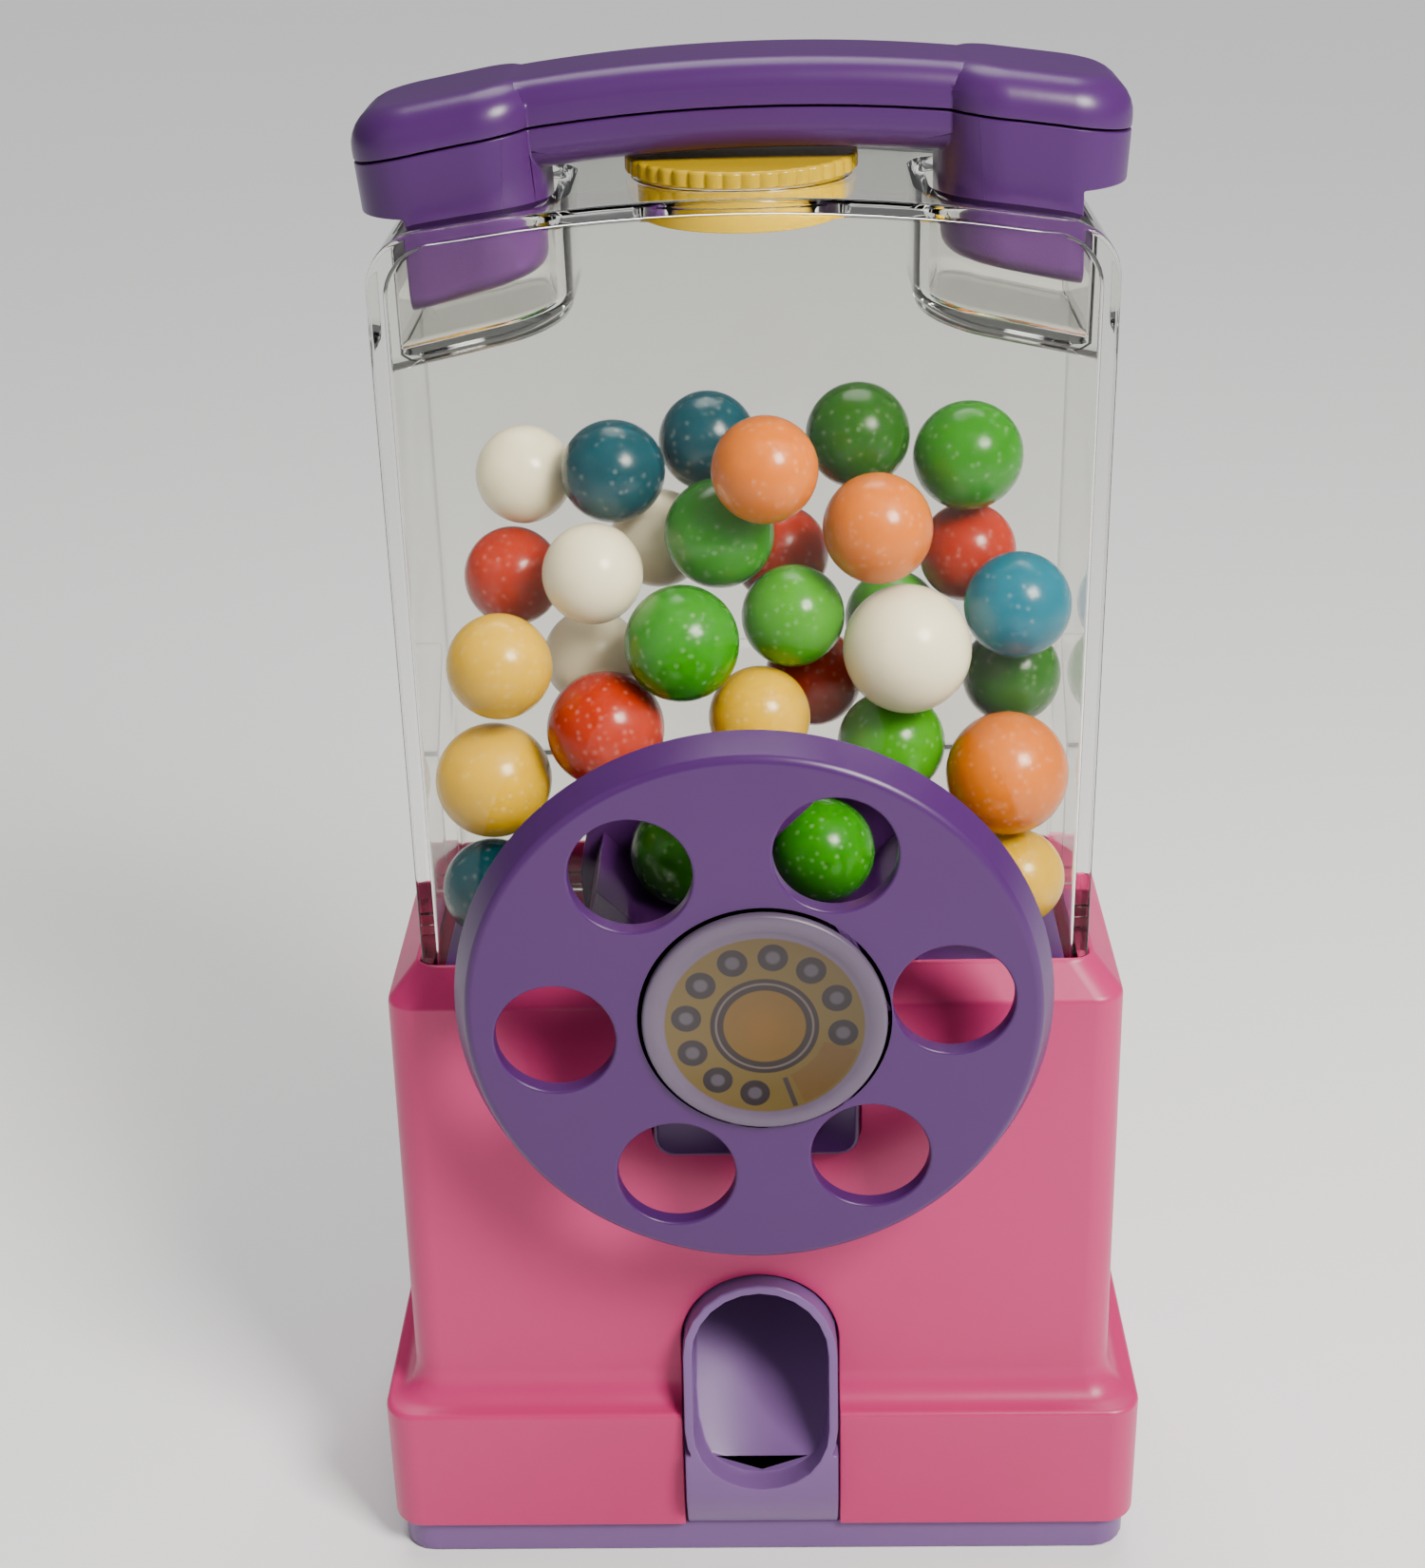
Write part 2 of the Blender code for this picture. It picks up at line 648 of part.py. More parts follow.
def dial():
    """Finger dial: a face with a skirt, six finger holes and a hub on the shaft."""
    back = DIAL_FACE - DIAL_THICKNESS
    plate = DIAL_FACE - DIAL_PLATE
    wall = 1.9 * MM
    profile = [(0, DIAL_FACE), (DIAL_RADIUS - 2.4 * MM, DIAL_FACE),
               (DIAL_RADIUS - 1.2 * MM, DIAL_FACE - 0.4 * MM),
               (DIAL_RADIUS - 0.3 * MM, DIAL_FACE - 1.4 * MM), (DIAL_RADIUS, DIAL_FACE - 2.6 * MM),
               (DIAL_RADIUS, back), (DIAL_RADIUS - wall, back), (DIAL_RADIUS - wall, plate),
               (HUB_RADIUS, plate), (HUB_RADIUS, HUB_BACK), (0, HUB_BACK)]
    body = turned("dial", profile, 60, front=True)
    for i in range(FINGER_COUNT):
        angle = FINGER_START + 2 * math.pi * i / FINGER_COUNT
        centre = (FINGER_CIRCLE * math.cos(angle), FINGER_CIRCLE * math.sin(angle))
        body = cut(body, cylinder(f"finger_{i}", FINGER_RADIUS, 30 * MM, 50 * MM, centre, True, 24))
    seat = DIAL_FACE - 0.8 * MM
    recess = cylinder("recess", LABEL_RADIUS + 0.2 * MM, seat, 50 * MM, (LABEL_SHIFT, 0), True, 48)
    bore = cylinder("bore", SHAFT_RADIUS + RUNNING, 20 * MM, SHAFT_FRONT + RUNNING, front=True, sides=24)
    screw_way = cylinder("screw_way", 1.6 * MM, 30 * MM, 45 * MM, front=True, sides=16)
    head_sink = cylinder("head_sink", 3.2 * MM, DIAL_FACE - 2.4 * MM, 45 * MM, front=True, sides=20)
    return finish(cut(body, recess, bore, screw_way, head_sink), "dial", PURPLE_PLASTIC, ON_DIAL_AXIS)


def dial_label():
    """Round printed plate that sits in the dial's recess, a little off centre."""
    low, high = DIAL_FACE - 0.5 * MM, DIAL_FACE + 1.1 * MM
    label = cylinder("dial_label", LABEL_RADIUS, low, high, (LABEL_SHIFT, 0), True, 48)
    return finish(label, "dial_label", CREAM_PLASTIC, ON_DIAL_AXIS)


def dial_screw():
    """Screw under the label that holds the dial on the shaft's end."""
    head = DIAL_FACE - 2.1 * MM
    profile = [(0, head + 1.2 * MM), (2.4 * MM, head + 1.2 * MM), (2.8 * MM, head + 0.6 * MM),
               (2.8 * MM, head), (1.2 * MM, head), (1.2 * MM, SHAFT_FRONT - 6 * MM),
               (0, SHAFT_FRONT - 7 * MM)]
    return finish(turned("dial_screw", profile, 16, front=True), "dial_screw", STEEL_METAL, ON_DIAL_AXIS)


def drive_shaft():
    """Shaft through the bracket and the hopper's wall to the wheel, grooved for its clip."""
    groove = SHAFT_BACK + 2.0 * MM
    profile = [(0, SHAFT_FRONT), (SHAFT_RADIUS, SHAFT_FRONT), (SHAFT_RADIUS, groove + 1.0 * MM),
               (SHAFT_RADIUS - 0.9 * MM, groove + 1.0 * MM), (SHAFT_RADIUS - 0.9 * MM, groove),
               (SHAFT_RADIUS, groove), (SHAFT_RADIUS, SHAFT_BACK), (0, SHAFT_BACK)]
    shaft = turned("drive_shaft", profile, 24, front=True)
    pilot = cylinder("pilot", 1.5 * MM, SHAFT_FRONT - 8 * MM, 50 * MM, front=True, sides=16)
    return finish(cut(shaft, pilot), "drive_shaft", PURPLE_PLASTIC, ON_DIAL_AXIS)


def washer_solid(name, inner, outer, low, high):
    profile = [(inner, high), (outer, high), (outer, low), (inner, low), (inner, high)]
    return turned(name, profile, 24, front=True)


def thrust_washer():
    washer = washer_solid("thrust_washer", SHAFT_RADIUS + RUNNING, 6.4 * MM, 28.7 * MM, 29.3 * MM)
    return finish(washer, "thrust_washer", CREAM_PLASTIC, ON_DIAL_AXIS)


def retaining_clip():
    """E-clip in the shaft's groove, behind the trough's rear wall."""
    low = SHAFT_BACK + 2.15 * MM
    loop = arc(0, AXIS_Z, 4.6 * MM, -140, 140, 18)
    loop += arc(0, AXIS_Z, SHAFT_RADIUS - 0.6 * MM, 140, -140, 18)
    clip = outline("retaining_clip", [loop], -low - 0.7 * MM, -low)
    return finish(clip, "retaining_clip", STEEL_METAL, ON_DIAL_AXIS)


def wheel_outline():
    """Wheel from the front: four pockets, each a half circle open to the rim."""
    mouth = math.degrees(math.asin(BALL_POCKET / WHEEL_RADIUS))
    points = []
    for i in range(POCKET_COUNT):
        middle = 45.0 + 90.0 * i
        turn = math.radians(middle)
        cx = BALL_DISTANCE * math.cos(turn)
        cz = AXIS_Z + BALL_DISTANCE * math.sin(turn)
        points += arc(cx, cz, BALL_POCKET, middle + 270, middle + 90, 10)
        points += arc(0, AXIS_Z, WHEEL_RADIUS, middle + mouth, middle + 90 - mouth, 4)
    return points


def dispensing_wheel():
    """Four-pocket wheel that carries balls from the hopper round to the chute."""
    bore = circle(0, AXIS_Z, SHAFT_RADIUS + RUNNING, 24)
    wheel = outline("dispensing_wheel", [wheel_outline(), bore], -WHEEL_FRONT, -WHEEL_BACK)
    return finish(wheel, "dispensing_wheel", PURPLE_PLASTIC, ON_DIAL_AXIS)


# ---- handset ----

def end_outline(inset):
    """One end of the handset from the front, right side."""
    slope = math.tan(POCKET_SLOPE)
    inner, seat = END_INNER_X + inset, END_SEAT_X - inset
    low = END_BOTTOM + inset
    drop = slope * (END_SEAT_X - END_INNER_X)
    far = HANDSET_HALF_X - inset
    points = [(inner, low), (seat, low - drop), (seat, END_LIP + inset)]
    points += [(far - 3.2 * MM, END_LIP + inset)]
    points += [(far - 1.2 * MM, END_LIP + 2.4 * MM + inset), (far, 213.4 * MM)]
    points += arc(far - 6 * MM, 214.6 * MM - inset / 2, 6 * MM, 4, 74, 5)
    points += [(38 * MM, crown(38 * MM, GRIP_TOP - inset)), (inner, crown(inner, GRIP_TOP - inset))]
    return points


def grip_outline(inset):
    """The grip from the front, which bends with the hopper's crown."""
    top = [(x * MM, crown(x * MM, GRIP_TOP - inset)) for x in (40, 30, 20, 10, 0)]
    bottom = [(x * MM, crown(x * MM, GRIP_BOTTOM + inset)) for x in (0, 10, 20, 30, 40)]
    left = [(-x, z) for x, z in reversed(top[:-1])] + [(-x, z) for x, z in reversed(bottom[1:])]
    return bottom + top + left


def handset_form(name, inset):
    """The whole handset as a solid: a grip between two wider ends."""
    half_y = END_HALF_Y - inset
    form = outline(name, [grip_outline(inset)], -GRIP_HALF_Y + inset, GRIP_HALF_Y - inset)
    form = rounded(form, 3.4 * MM - inset / 2, 3)
    for side in (1, -1):
        points = [(side * x, z) for x, z in end_outline(inset)]
        end = outline(f"{name}_end", [points], -half_y, half_y)
        end = rounded(end, 2.6 * MM - inset / 2, 3, 40.0)
        inner, outer = END_INNER_X + inset, HANDSET_HALF_X + 2 * MM - inset
        form = join(form, keep(end, plan_prism(side, inner, outer, half_y, END_CORNER - inset)))
    return form


def seam_slab(name, above, gap):
    """Everything above or below the seam, which follows the crown."""
    xs = (-60, -40, -20, 0, 20, 40, 60)
    seam = [(x * MM, crown(x * MM, SEAM_HEIGHT) + gap) for x in xs]
    far = 260 * MM if above else 150 * MM
    return outline(name, [seam + [(60 * MM, far), (-60 * MM, far)]], -30 * MM, 30 * MM)


def handset_shell(name, above):
    """One half of the handset: the wall of the form, on one side of the seam."""
    gap = RUNNING / 2 if above else -RUNNING / 2
    half = keep(handset_form(name, 0.0), seam_slab("slab", above, gap))
    return cut(half, handset_form("hollow", HANDSET_WALL))


def handset_screw_places():
    return [(side * HANDSET_SCREW_X, 0.0) for side in (1, -1)]


def handset_upper_shell():
    shell = handset_shell("handset_upper_shell", True)
    roof = crown(HANDSET_SCREW_X, GRIP_TOP) - HANDSET_WALL + 0.6 * MM
    for place_xy in handset_screw_places():
        post = cylinder("post", 2.8 * MM, SEAM_HEIGHT - 1.9 * MM, roof, place_xy, sides=16)
        pilot = cylinder("pilot", 1.4 * MM, SEAM_HEIGHT - 6 * MM, roof - 1.5 * MM, place_xy, sides=12)
        shell = cut(join(shell, post), pilot)
    return finish(shell, "handset_upper_shell", PURPLE_PLASTIC, ON_HANDSET)


def handset_lower_shell():
    shell = handset_shell("handset_lower_shell", False)
    for place_xy in handset_screw_places():
        post = cylinder("post", 4.4 * MM, 197.6 * MM, SEAM_HEIGHT - 2.4 * MM, place_xy, sides=20)
        way = cylinder("way", 1.6 * MM, 180 * MM, 230 * MM, place_xy, sides=16)
        sink = cylinder("sink", 3.2 * MM, 180 * MM, 205.4 * MM, place_xy, sides=20)
        shell = cut(join(shell, keep(post, handset_form("trim", 0.4 * MM))), way, sink)
    return finish(shell, "handset_lower_shell", PURPLE_PLASTIC, ON_HANDSET)


def handset_screws():
    """One screw up through each end of the lower shell into the upper shell's post."""
    for i, place_xy in enumerate(handset_screw_places(), 1):
        screw = screw_solid("handset_screw", place_xy, 203.0 * MM, 15.2 * MM, 2.8 * MM)
        finish(screw, f"handset_screw_{i}", STEEL_METAL, ON_HANDSET)


# ---- refill cap ----

def refill_cap():
    """Fluted cap with a hollow neck that twists into the hopper's top."""
    rim = CAP_TOP - 2.1 * MM
    foot = rim - 5.8 * MM
    profile = [(0, CAP_TOP), (CAP_RADIUS - 1.2 * MM, CAP_TOP), (CAP_RADIUS - 0.3 * MM, CAP_TOP - 0.5 * MM),
               (CAP_RADIUS, rim + 0.8 * MM), (CAP_RADIUS, rim), (CAP_NECK, rim), (CAP_NECK, foot),
               (CAP_NECK - 1.6 * MM, foot), (CAP_NECK - 1.6 * MM, rim + 0.4 * MM), (0, rim + 0.4 * MM)]
    return finish(turned("refill_cap", profile, 48), "refill_cap", YELLOW_PLASTIC)


# ---- gumballs ----

# Each ball: place across, back and up in mm, diameter in mm, colour
BALLS = [
    (-17, 10, 165, 15.0, "teal"), (-6, 10, 166, 14.4, "teal"), (2, -7, 170, 15.0, "orange"),
    (16, 9, 170, 15.2, "forest"), (31, 8, 167, 16.0, "green"), (-32, 10, 164, 14.4, "white"),
    (-12, 10, 157, 14.6, "white"), (-6, 2, 155, 15.8, "green"), (5, 10, 151, 14.6, "red"),
    (18, -5, 161, 15.8, "orange"), (31, 10, 149, 14.6, "red"), (36, 1, 145, 15.4, "blue"),
    (-34, 8, 151, 14.6, "red"), (-21, -4, 155, 14.6, "white"), (-5, -10, 148, 16.6, "green"),
    (9, -1, 146, 14.8, "mint"), (22, 10, 143, 14.4, "mint"), (-35, -9, 143, 15.4, "yellow"),
    (-23, 4, 138, 14.6, "white"), (25, -8, 140, 18.4, "white"), (13, 6, 132, 14.6, "red"),
    (41, 6, 135, 14.8, "forest"), (-20, -8, 134, 17.0, "red"), (0, -5, 134, 14.8, "yellow"),
    (17, -3, 126, 16.0, "mint"), (37, -8, 126, 18.0, "orange"), (-37, -8, 125, 17.0, "yellow"),
    (-41, -9, 108, 15.0, "teal"), (41, -9, 109, 14.8, "yellow"),
]

SETTLING_ROUNDS = 500

# Balls that lie in the wheel's two upper pockets and turn with it
WHEEL_BALLS = [(45.0, 16.0, "green"), (135.0, 16.0, "forest")]


def ball_solid(name, centre, diameter, colour, parent=None):
    bm = bmesh.new()
    bmesh.ops.create_icosphere(bm, subdivisions=2, radius=diameter / 2)
    bmesh.ops.translate(bm, verts=bm.verts, vec=centre)
    return finish(from_bmesh(bm, name), name, BALL_MATERIALS[colour], parent)


def push_apart(balls):
    """Move overlapping balls apart, and keep them off the walls, the shelf and the wheel.

    Until the last rounds each ball is also drawn back a little to its own place.
    """
    gap = 0.25 * MM
    side = HOPPER_HALF_X - HOPPER_WALL
    depth = HOPPER_HALF_Y - HOPPER_WALL
    places = [centre.copy() for centre, _ in balls]
    pull = Vector((0.05, 0.01, 0.05))
    shelf = Vector((0.0, -math.sin(SHELF_SLOPE), math.cos(SHELF_SLOPE)))
    shelf_edge = Vector((0.0, SHELF_FRONT, SHELF_BEND + 0.5 * MM))
    for turn in range(SETTLING_ROUNDS):
        if turn < SETTLING_ROUNDS - 70:
            for (centre, _), home in zip(balls, places):
                centre += Vector(a * b for a, b in zip(home - centre, pull))
        for i, (a, ra) in enumerate(balls):
            for b, rb in balls[i + 1:]:
                apart = b - a
                need = ra + rb + gap - apart.length
                if need > 0:
                    step = apart.normalized() * (need / 2)
                    a -= step
                    b += step
        for centre, radius in balls:
            edge = radius + gap
            centre.x = max(-side + edge, min(side - edge, centre.x))
            centre.y = max(-depth + edge, min(depth - edge, centre.y))
            away = Vector((centre.x, 0.0, centre.z - AXIS_Z))
            short = WHEEL_RADIUS + edge - away.length
            if short > 0:
                centre += away.normalized() * short
            lift = edge - (centre - shelf_edge).dot(shelf)
            if centre.z < 145 * MM and centre.y > -4 * MM and lift > 0:
                centre += shelf * lift
            floor = SLOPE_TOP - (side - abs(centre.x)) * 0.3 + 1.05 * edge
            centre.z = max(centre.z, floor)


def gumballs():
    """Loose balls in the hopper, and two in the wheel's pockets."""
    balls = [(Vector((x, y, z)) * MM, diameter * MM / 2) for x, y, z, diameter, _ in BALLS]
    push_apart(balls)
    for i, ((centre, radius), (*_, colour)) in enumerate(zip(balls, BALLS), 1):
        ball_solid(f"gumball_{i:02d}", centre, 2 * radius, colour)
    middle = -(WHEEL_FRONT + WHEEL_BACK) / 2
    for i, (angle, diameter, colour) in enumerate(WHEEL_BALLS, 1):
        turn = math.radians(angle)
        centre = Vector((BALL_DISTANCE * math.cos(turn), middle, AXIS_Z + BALL_DISTANCE * math.sin(turn)))
        ball_solid(f"wheel_gumball_{i}", centre, diameter * MM, colour, ON_DIAL_AXIS)


# ---- assembly ----

def empty(name, matrix):
    obj = bpy.data.objects.new(name, None)
    obj.matrix_world = matrix
    PIECES.objects.link(obj)
    bpy.context.view_layer.update()
    return obj


def tilt_handset():
    """Lay the handset in its pockets slightly askew, as it rests."""
    middle = Vector((0, 0, GRIP_BOTTOM))
    turn = Matrix.Rotation(HANDSET_TILT, 4, "Y")
    ON_HANDSET.matrix_world = Matrix.Translation(middle) @ turn
    bpy.context.view_layer.update()


clear_scene()
PIECES = new_collection("gumball_machine")

PURPLE_PLASTIC = material("purple_plastic", PURPLE, 0.32)
LILAC_PLASTIC = material("lilac_plastic", LILAC, 0.35)
PINK_PLASTIC = material("pink_plastic", PINK, 0.34)
YELLOW_PLASTIC = material("yellow_plastic", YELLOW, 0.3)
CLEAR_PLASTIC = material("clear_plastic", CLEAR, 0.05, alpha=0.25)
CREAM_PLASTIC = material("cream_plastic", CREAM, 0.4)
STEEL_METAL = material("zinc_steel", STEEL, 0.35, 1.0)
BALL_MATERIALS = {name: material(f"gumball_{name}", colour, 0.3) for name, colour in BALL_COLOURS.items()}

ON_DIAL_AXIS = empty("dial_axis", Matrix.Translation((0, 0, AXIS_Z)))
ON_HANDSET = empty("handset_seat", Matrix.Translation((0, 0, GRIP_BOTTOM)))

base_plate()
base_shell()
base_screws()
outlet_chute()
hopper()
wheel_trough()
rear_baffle()
bearing_bracket()
dial()
dial_label()
dial_screw()
drive_shaft()
thrust_washer()
retaining_clip()
dispensing_wheel()
handset_upper_shell()
handset_lower_shell()
handset_screws()
refill_cap()
gumballs()
tilt_handset()
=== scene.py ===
import json
import math

import bmesh
import bpy
from mathutils import Matrix, Vector


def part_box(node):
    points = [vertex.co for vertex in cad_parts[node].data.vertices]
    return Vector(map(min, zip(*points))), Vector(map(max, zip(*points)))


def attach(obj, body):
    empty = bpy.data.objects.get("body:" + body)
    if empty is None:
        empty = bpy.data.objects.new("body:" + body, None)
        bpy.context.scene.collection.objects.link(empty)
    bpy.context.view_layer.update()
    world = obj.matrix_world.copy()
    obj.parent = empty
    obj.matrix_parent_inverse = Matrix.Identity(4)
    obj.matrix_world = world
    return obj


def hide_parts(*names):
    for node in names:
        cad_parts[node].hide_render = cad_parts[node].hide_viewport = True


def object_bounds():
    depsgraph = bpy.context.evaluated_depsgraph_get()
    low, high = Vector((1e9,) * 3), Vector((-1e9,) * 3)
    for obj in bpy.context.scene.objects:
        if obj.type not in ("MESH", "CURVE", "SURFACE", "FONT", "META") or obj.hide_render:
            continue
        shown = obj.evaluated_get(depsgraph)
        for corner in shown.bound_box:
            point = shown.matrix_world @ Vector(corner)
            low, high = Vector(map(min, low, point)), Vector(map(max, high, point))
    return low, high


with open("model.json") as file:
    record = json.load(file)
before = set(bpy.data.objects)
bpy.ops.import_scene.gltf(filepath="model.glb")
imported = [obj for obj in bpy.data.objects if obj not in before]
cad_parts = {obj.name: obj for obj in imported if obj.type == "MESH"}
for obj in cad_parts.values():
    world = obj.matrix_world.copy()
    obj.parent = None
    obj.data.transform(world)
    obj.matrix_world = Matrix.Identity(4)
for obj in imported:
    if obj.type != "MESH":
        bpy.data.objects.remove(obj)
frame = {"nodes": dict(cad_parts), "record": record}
cad_bounds = [list(corner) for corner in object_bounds()]


# ---- Studio ----
# A pale paper floor, a soft lamp in front on the right, a weaker one on the left, and a broad
# light from the ceiling. The camera looks down at the toy from close in front.

MM = 0.001
floor_size = 9.0


def new_material(name):
    """A new material, with its nodes, its links and its main shader."""
    mat = bpy.data.materials.new(name)
    mat.use_nodes = True
    nodes, links = mat.node_tree.nodes, mat.node_tree.links
    return mat, nodes, links, nodes["Principled BSDF"]


bpy.ops.object.select_all(action="DESELECT")
bpy.ops.mesh.primitive_plane_add(size=floor_size, location=(0, 0, cad_bounds[0][2] - 0.2 * MM))
floor = bpy.context.object
floor.name = "studio_floor"
bpy.ops.object.transform_apply(location=True, rotation=True, scale=True)
paper, paper_nodes, paper_links, paper_shader = new_material("pale_paper")
paper_shader.inputs["Roughness"].default_value = 0.9
paper_shader.inputs["Specular IOR Level"].default_value = 0.2
paper_grain = paper_nodes.new("ShaderNodeTexNoise")
paper_grain.inputs["Scale"].default_value = 9.0
paper_tone = paper_nodes.new("ShaderNodeValToRGB")
paper_tone.color_ramp.elements[0].color = (0.86, 0.86, 0.855, 1)
paper_tone.color_ramp.elements[1].color = (0.90, 0.90, 0.895, 1)
paper_links.new(paper_grain.outputs["Fac"], paper_tone.inputs["Fac"])
paper_links.new(paper_tone.outputs["Color"], paper_shader.inputs["Base Color"])
floor.data.materials.append(paper)

sky = bpy.data.worlds.new("studio_light")
bpy.context.scene.world = sky
sky.use_nodes = True
backdrop = sky.node_tree.nodes["Background"]
backdrop.inputs["Color"].default_value = (0.96, 0.98, 1.0, 1)
backdrop.inputs["Strength"].default_value = 0.16

aim = Vector((0, 0, 110 * MM))
lamps = (
    ("key_lamp", 40, 42, 0.75, 0.22, 10.0, (1.0, 0.965, 0.92)),
    ("fill_lamp", -50, 25, 0.95, 0.6, 0.6, (0.93, 0.96, 1.0)),
)
for name, azimuth, elevation, distance, size, power, colour in lamps:
    light = bpy.data.lights.new(name, "AREA")
    light.size = size
    light.energy = power
    light.color = colour
    lamp = bpy.data.objects.new(name, light)
    bpy.context.scene.collection.objects.link(lamp)
    turn, rise = math.radians(azimuth), math.radians(elevation)
    from_aim = Vector((math.sin(turn) * math.cos(rise), -math.cos(turn) * math.cos(rise), math.sin(rise)))
    lamp.location = aim + from_aim * distance
    lamp.rotation_euler = from_aim.to_track_quat("Z", "Y").to_euler()

sun = bpy.data.lights.new("ceiling_light", "SUN")
sun.energy = 2.2
sun.angle = math.radians(40)
ceiling = bpy.data.objects.new("ceiling_light", sun)
bpy.context.scene.collection.objects.link(ceiling)
ceiling.rotation_euler = (math.radians(-22), 0, 0)

camera_place = Vector((2.8, -320.7, 272.0)) * MM
camera_yaw, camera_pitch, camera_roll = math.radians(1.54), math.radians(25.39), math.radians(-1.43)
level = Vector((-math.sin(camera_yaw), math.cos(camera_yaw), 0))
forward = level * math.cos(camera_pitch) - Vector((0, 0, math.sin(camera_pitch)))
side = Vector((math.cos(camera_yaw), math.sin(camera_yaw), 0))
upward = side.cross(forward)
right = side * math.cos(camera_roll) + upward * math.sin(camera_roll)
upward = upward * math.cos(camera_roll) - side * math.sin(camera_roll)
lens = bpy.data.cameras.new("main_camera")
lens.sensor_width = 36
lens.lens = 55.31
lens.clip_start = 0.01
camera = bpy.data.objects.new("main_camera", lens)
bpy.context.scene.collection.objects.link(camera)
camera.matrix_world = Matrix.Translation(camera_place) @ Matrix(
    (right, upward, -forward)).transposed().to_4x4()
bpy.context.scene.camera = camera


# ---- Base plate and outlet ----
# One lilac moulding in semi-gloss plastic: the plate that closes the base, and the outlet's
# surround, ramp and drop shaft, which stand up from it through the slot in the pink housing.

def work_on(*pieces):
    """Select these pieces only, the first one active."""
    bpy.ops.object.select_all(action="DESELECT")
    for piece in pieces:
        piece.select_set(True)
    bpy.context.view_layer.objects.active = pieces[0]


def choose(piece, kind, test):
    """In edit mode, select the verts, edges or faces that pass a test."""
    bpy.ops.mesh.select_mode(type=kind)
    bpy.ops.mesh.select_all(action="DESELECT")
    mesh = bmesh.from_edit_mesh(piece.data)
    parts = {"VERT": mesh.verts, "EDGE": mesh.edges, "FACE": mesh.faces}[kind]
    for part in parts:
        if test(part):
            part.select_set(True)
    bmesh.update_edit_mesh(piece.data)


def apply_all(piece):
    work_on(piece)
    for modifier in list(piece.modifiers):
        bpy.ops.object.modifier_apply(modifier=modifier.name)


def settle(piece, name):
    """Name a piece and apply its place, so that its object sits at the origin."""
    work_on(piece)
    bpy.ops.object.transform_apply(location=True, rotation=True, scale=True)
    piece.name = name
    piece.data.name = name
    return piece


def merged_copy(node, name):
    """A copy of a CAD node with its loose triangles joined into clean faces."""
    piece = frame["nodes"][node].copy()
    piece.data = piece.data.copy()
    bpy.context.scene.collection.objects.link(piece)
    piece.parent = None
    for key in list(piece.keys()):
        del piece[key]
    piece.name = name
    piece.data.name = name
    piece.data.materials.clear()
    work_on(piece)
    bpy.ops.object.mode_set(mode="EDIT")
    bpy.ops.mesh.customdata_custom_splitnormals_clear()
    bpy.ops.mesh.select_all(action="SELECT")
    bpy.ops.mesh.remove_doubles(threshold=0.01 * MM)
    bpy.ops.mesh.dissolve_limited(angle_limit=math.radians(0.4))
    bpy.ops.object.mode_set(mode="OBJECT")
    return piece


def cut_with(piece, cutters, operation="DIFFERENCE"):
    for cutter in cutters:
        boolean = piece.modifiers.new("cut", "BOOLEAN")
        boolean.operation = operation
        boolean.object = cutter
        work_on(piece)
        bpy.ops.object.modifier_apply(modifier=boolean.name)
        bpy.data.objects.remove(cutter, do_unlink=True)
    return piece


def soften(piece, width, segments=2, angle=35.0):
    """Break the sharp edges, as a mould does, and shade the piece smooth."""
    bevel = piece.modifiers.new("soften", "BEVEL")
    bevel.width = width
    bevel.segments = segments
    bevel.limit_method = "ANGLE"
    bevel.angle_limit = math.radians(angle)
    bevel.use_clamp_overlap = False
    bevel.miter_outer = "MITER_ARC"
    apply_all(piece)
    bpy.ops.object.shade_smooth_by_angle(angle=math.radians(40))
    normals = piece.modifiers.new("even", "WEIGHTED_NORMAL")
    normals.keep_sharp = True
    apply_all(piece)
    return piece


def noise(mat, scale, detail=2.0, distortion=0.0):
    """Noise that is fixed to the piece."""
    nodes, links = mat.node_tree.nodes, mat.node_tree.links
    place = nodes.new("ShaderNodeTexCoord")
    texture = nodes.new("ShaderNodeTexNoise")
    texture.inputs["Scale"].default_value = scale
    texture.inputs["Detail"].default_value = detail
    texture.inputs["Distortion"].default_value = distortion
    links.new(place.outputs["Object"], texture.inputs["Vector"])
    return texture.outputs["Fac"]


def blend(mat, amount, first, second):
    """Two colours mixed by an amount. The first may itself be a mix."""
    nodes, links = mat.node_tree.nodes, mat.node_tree.links
    mix = nodes.new("ShaderNodeMix")
    mix.data_type = "RGBA"
    links.new(amount, mix.inputs["Factor"])
    if isinstance(first, tuple):
        mix.inputs["A"].default_value = (*first, 1)
    else:
        links.new(first, mix.inputs["A"])
    mix.inputs["B"].default_value = (*second, 1)
    return mix.outputs["Result"]


def spread(mat, value, low, high, value_low=0.0, value_high=1.0):
    """A value stretched to run from low to high."""
    nodes, links = mat.node_tree.nodes, mat.node_tree.links
    stretch = nodes.new("ShaderNodeMapRange")
    stretch.inputs["From Min"].default_value = value_low
    stretch.inputs["From Max"].default_value = value_high
    stretch.inputs["To Min"].default_value = low
    stretch.inputs["To Max"].default_value = high
    links.new(value, stretch.inputs["Value"])
    return stretch.outputs["Result"]


def emboss(mat, height, strength, depth):
    """Light relief on the whole surface."""
    nodes, links = mat.node_tree.nodes, mat.node_tree.links
    bump = nodes.new("ShaderNodeBump")
    bump.inputs["Strength"].default_value = strength
    bump.inputs["Distance"].default_value = depth
    links.new(height, bump.inputs["Height"])
    links.new(bump.outputs["Normal"], nodes["Principled BSDF"].inputs["Normal"])


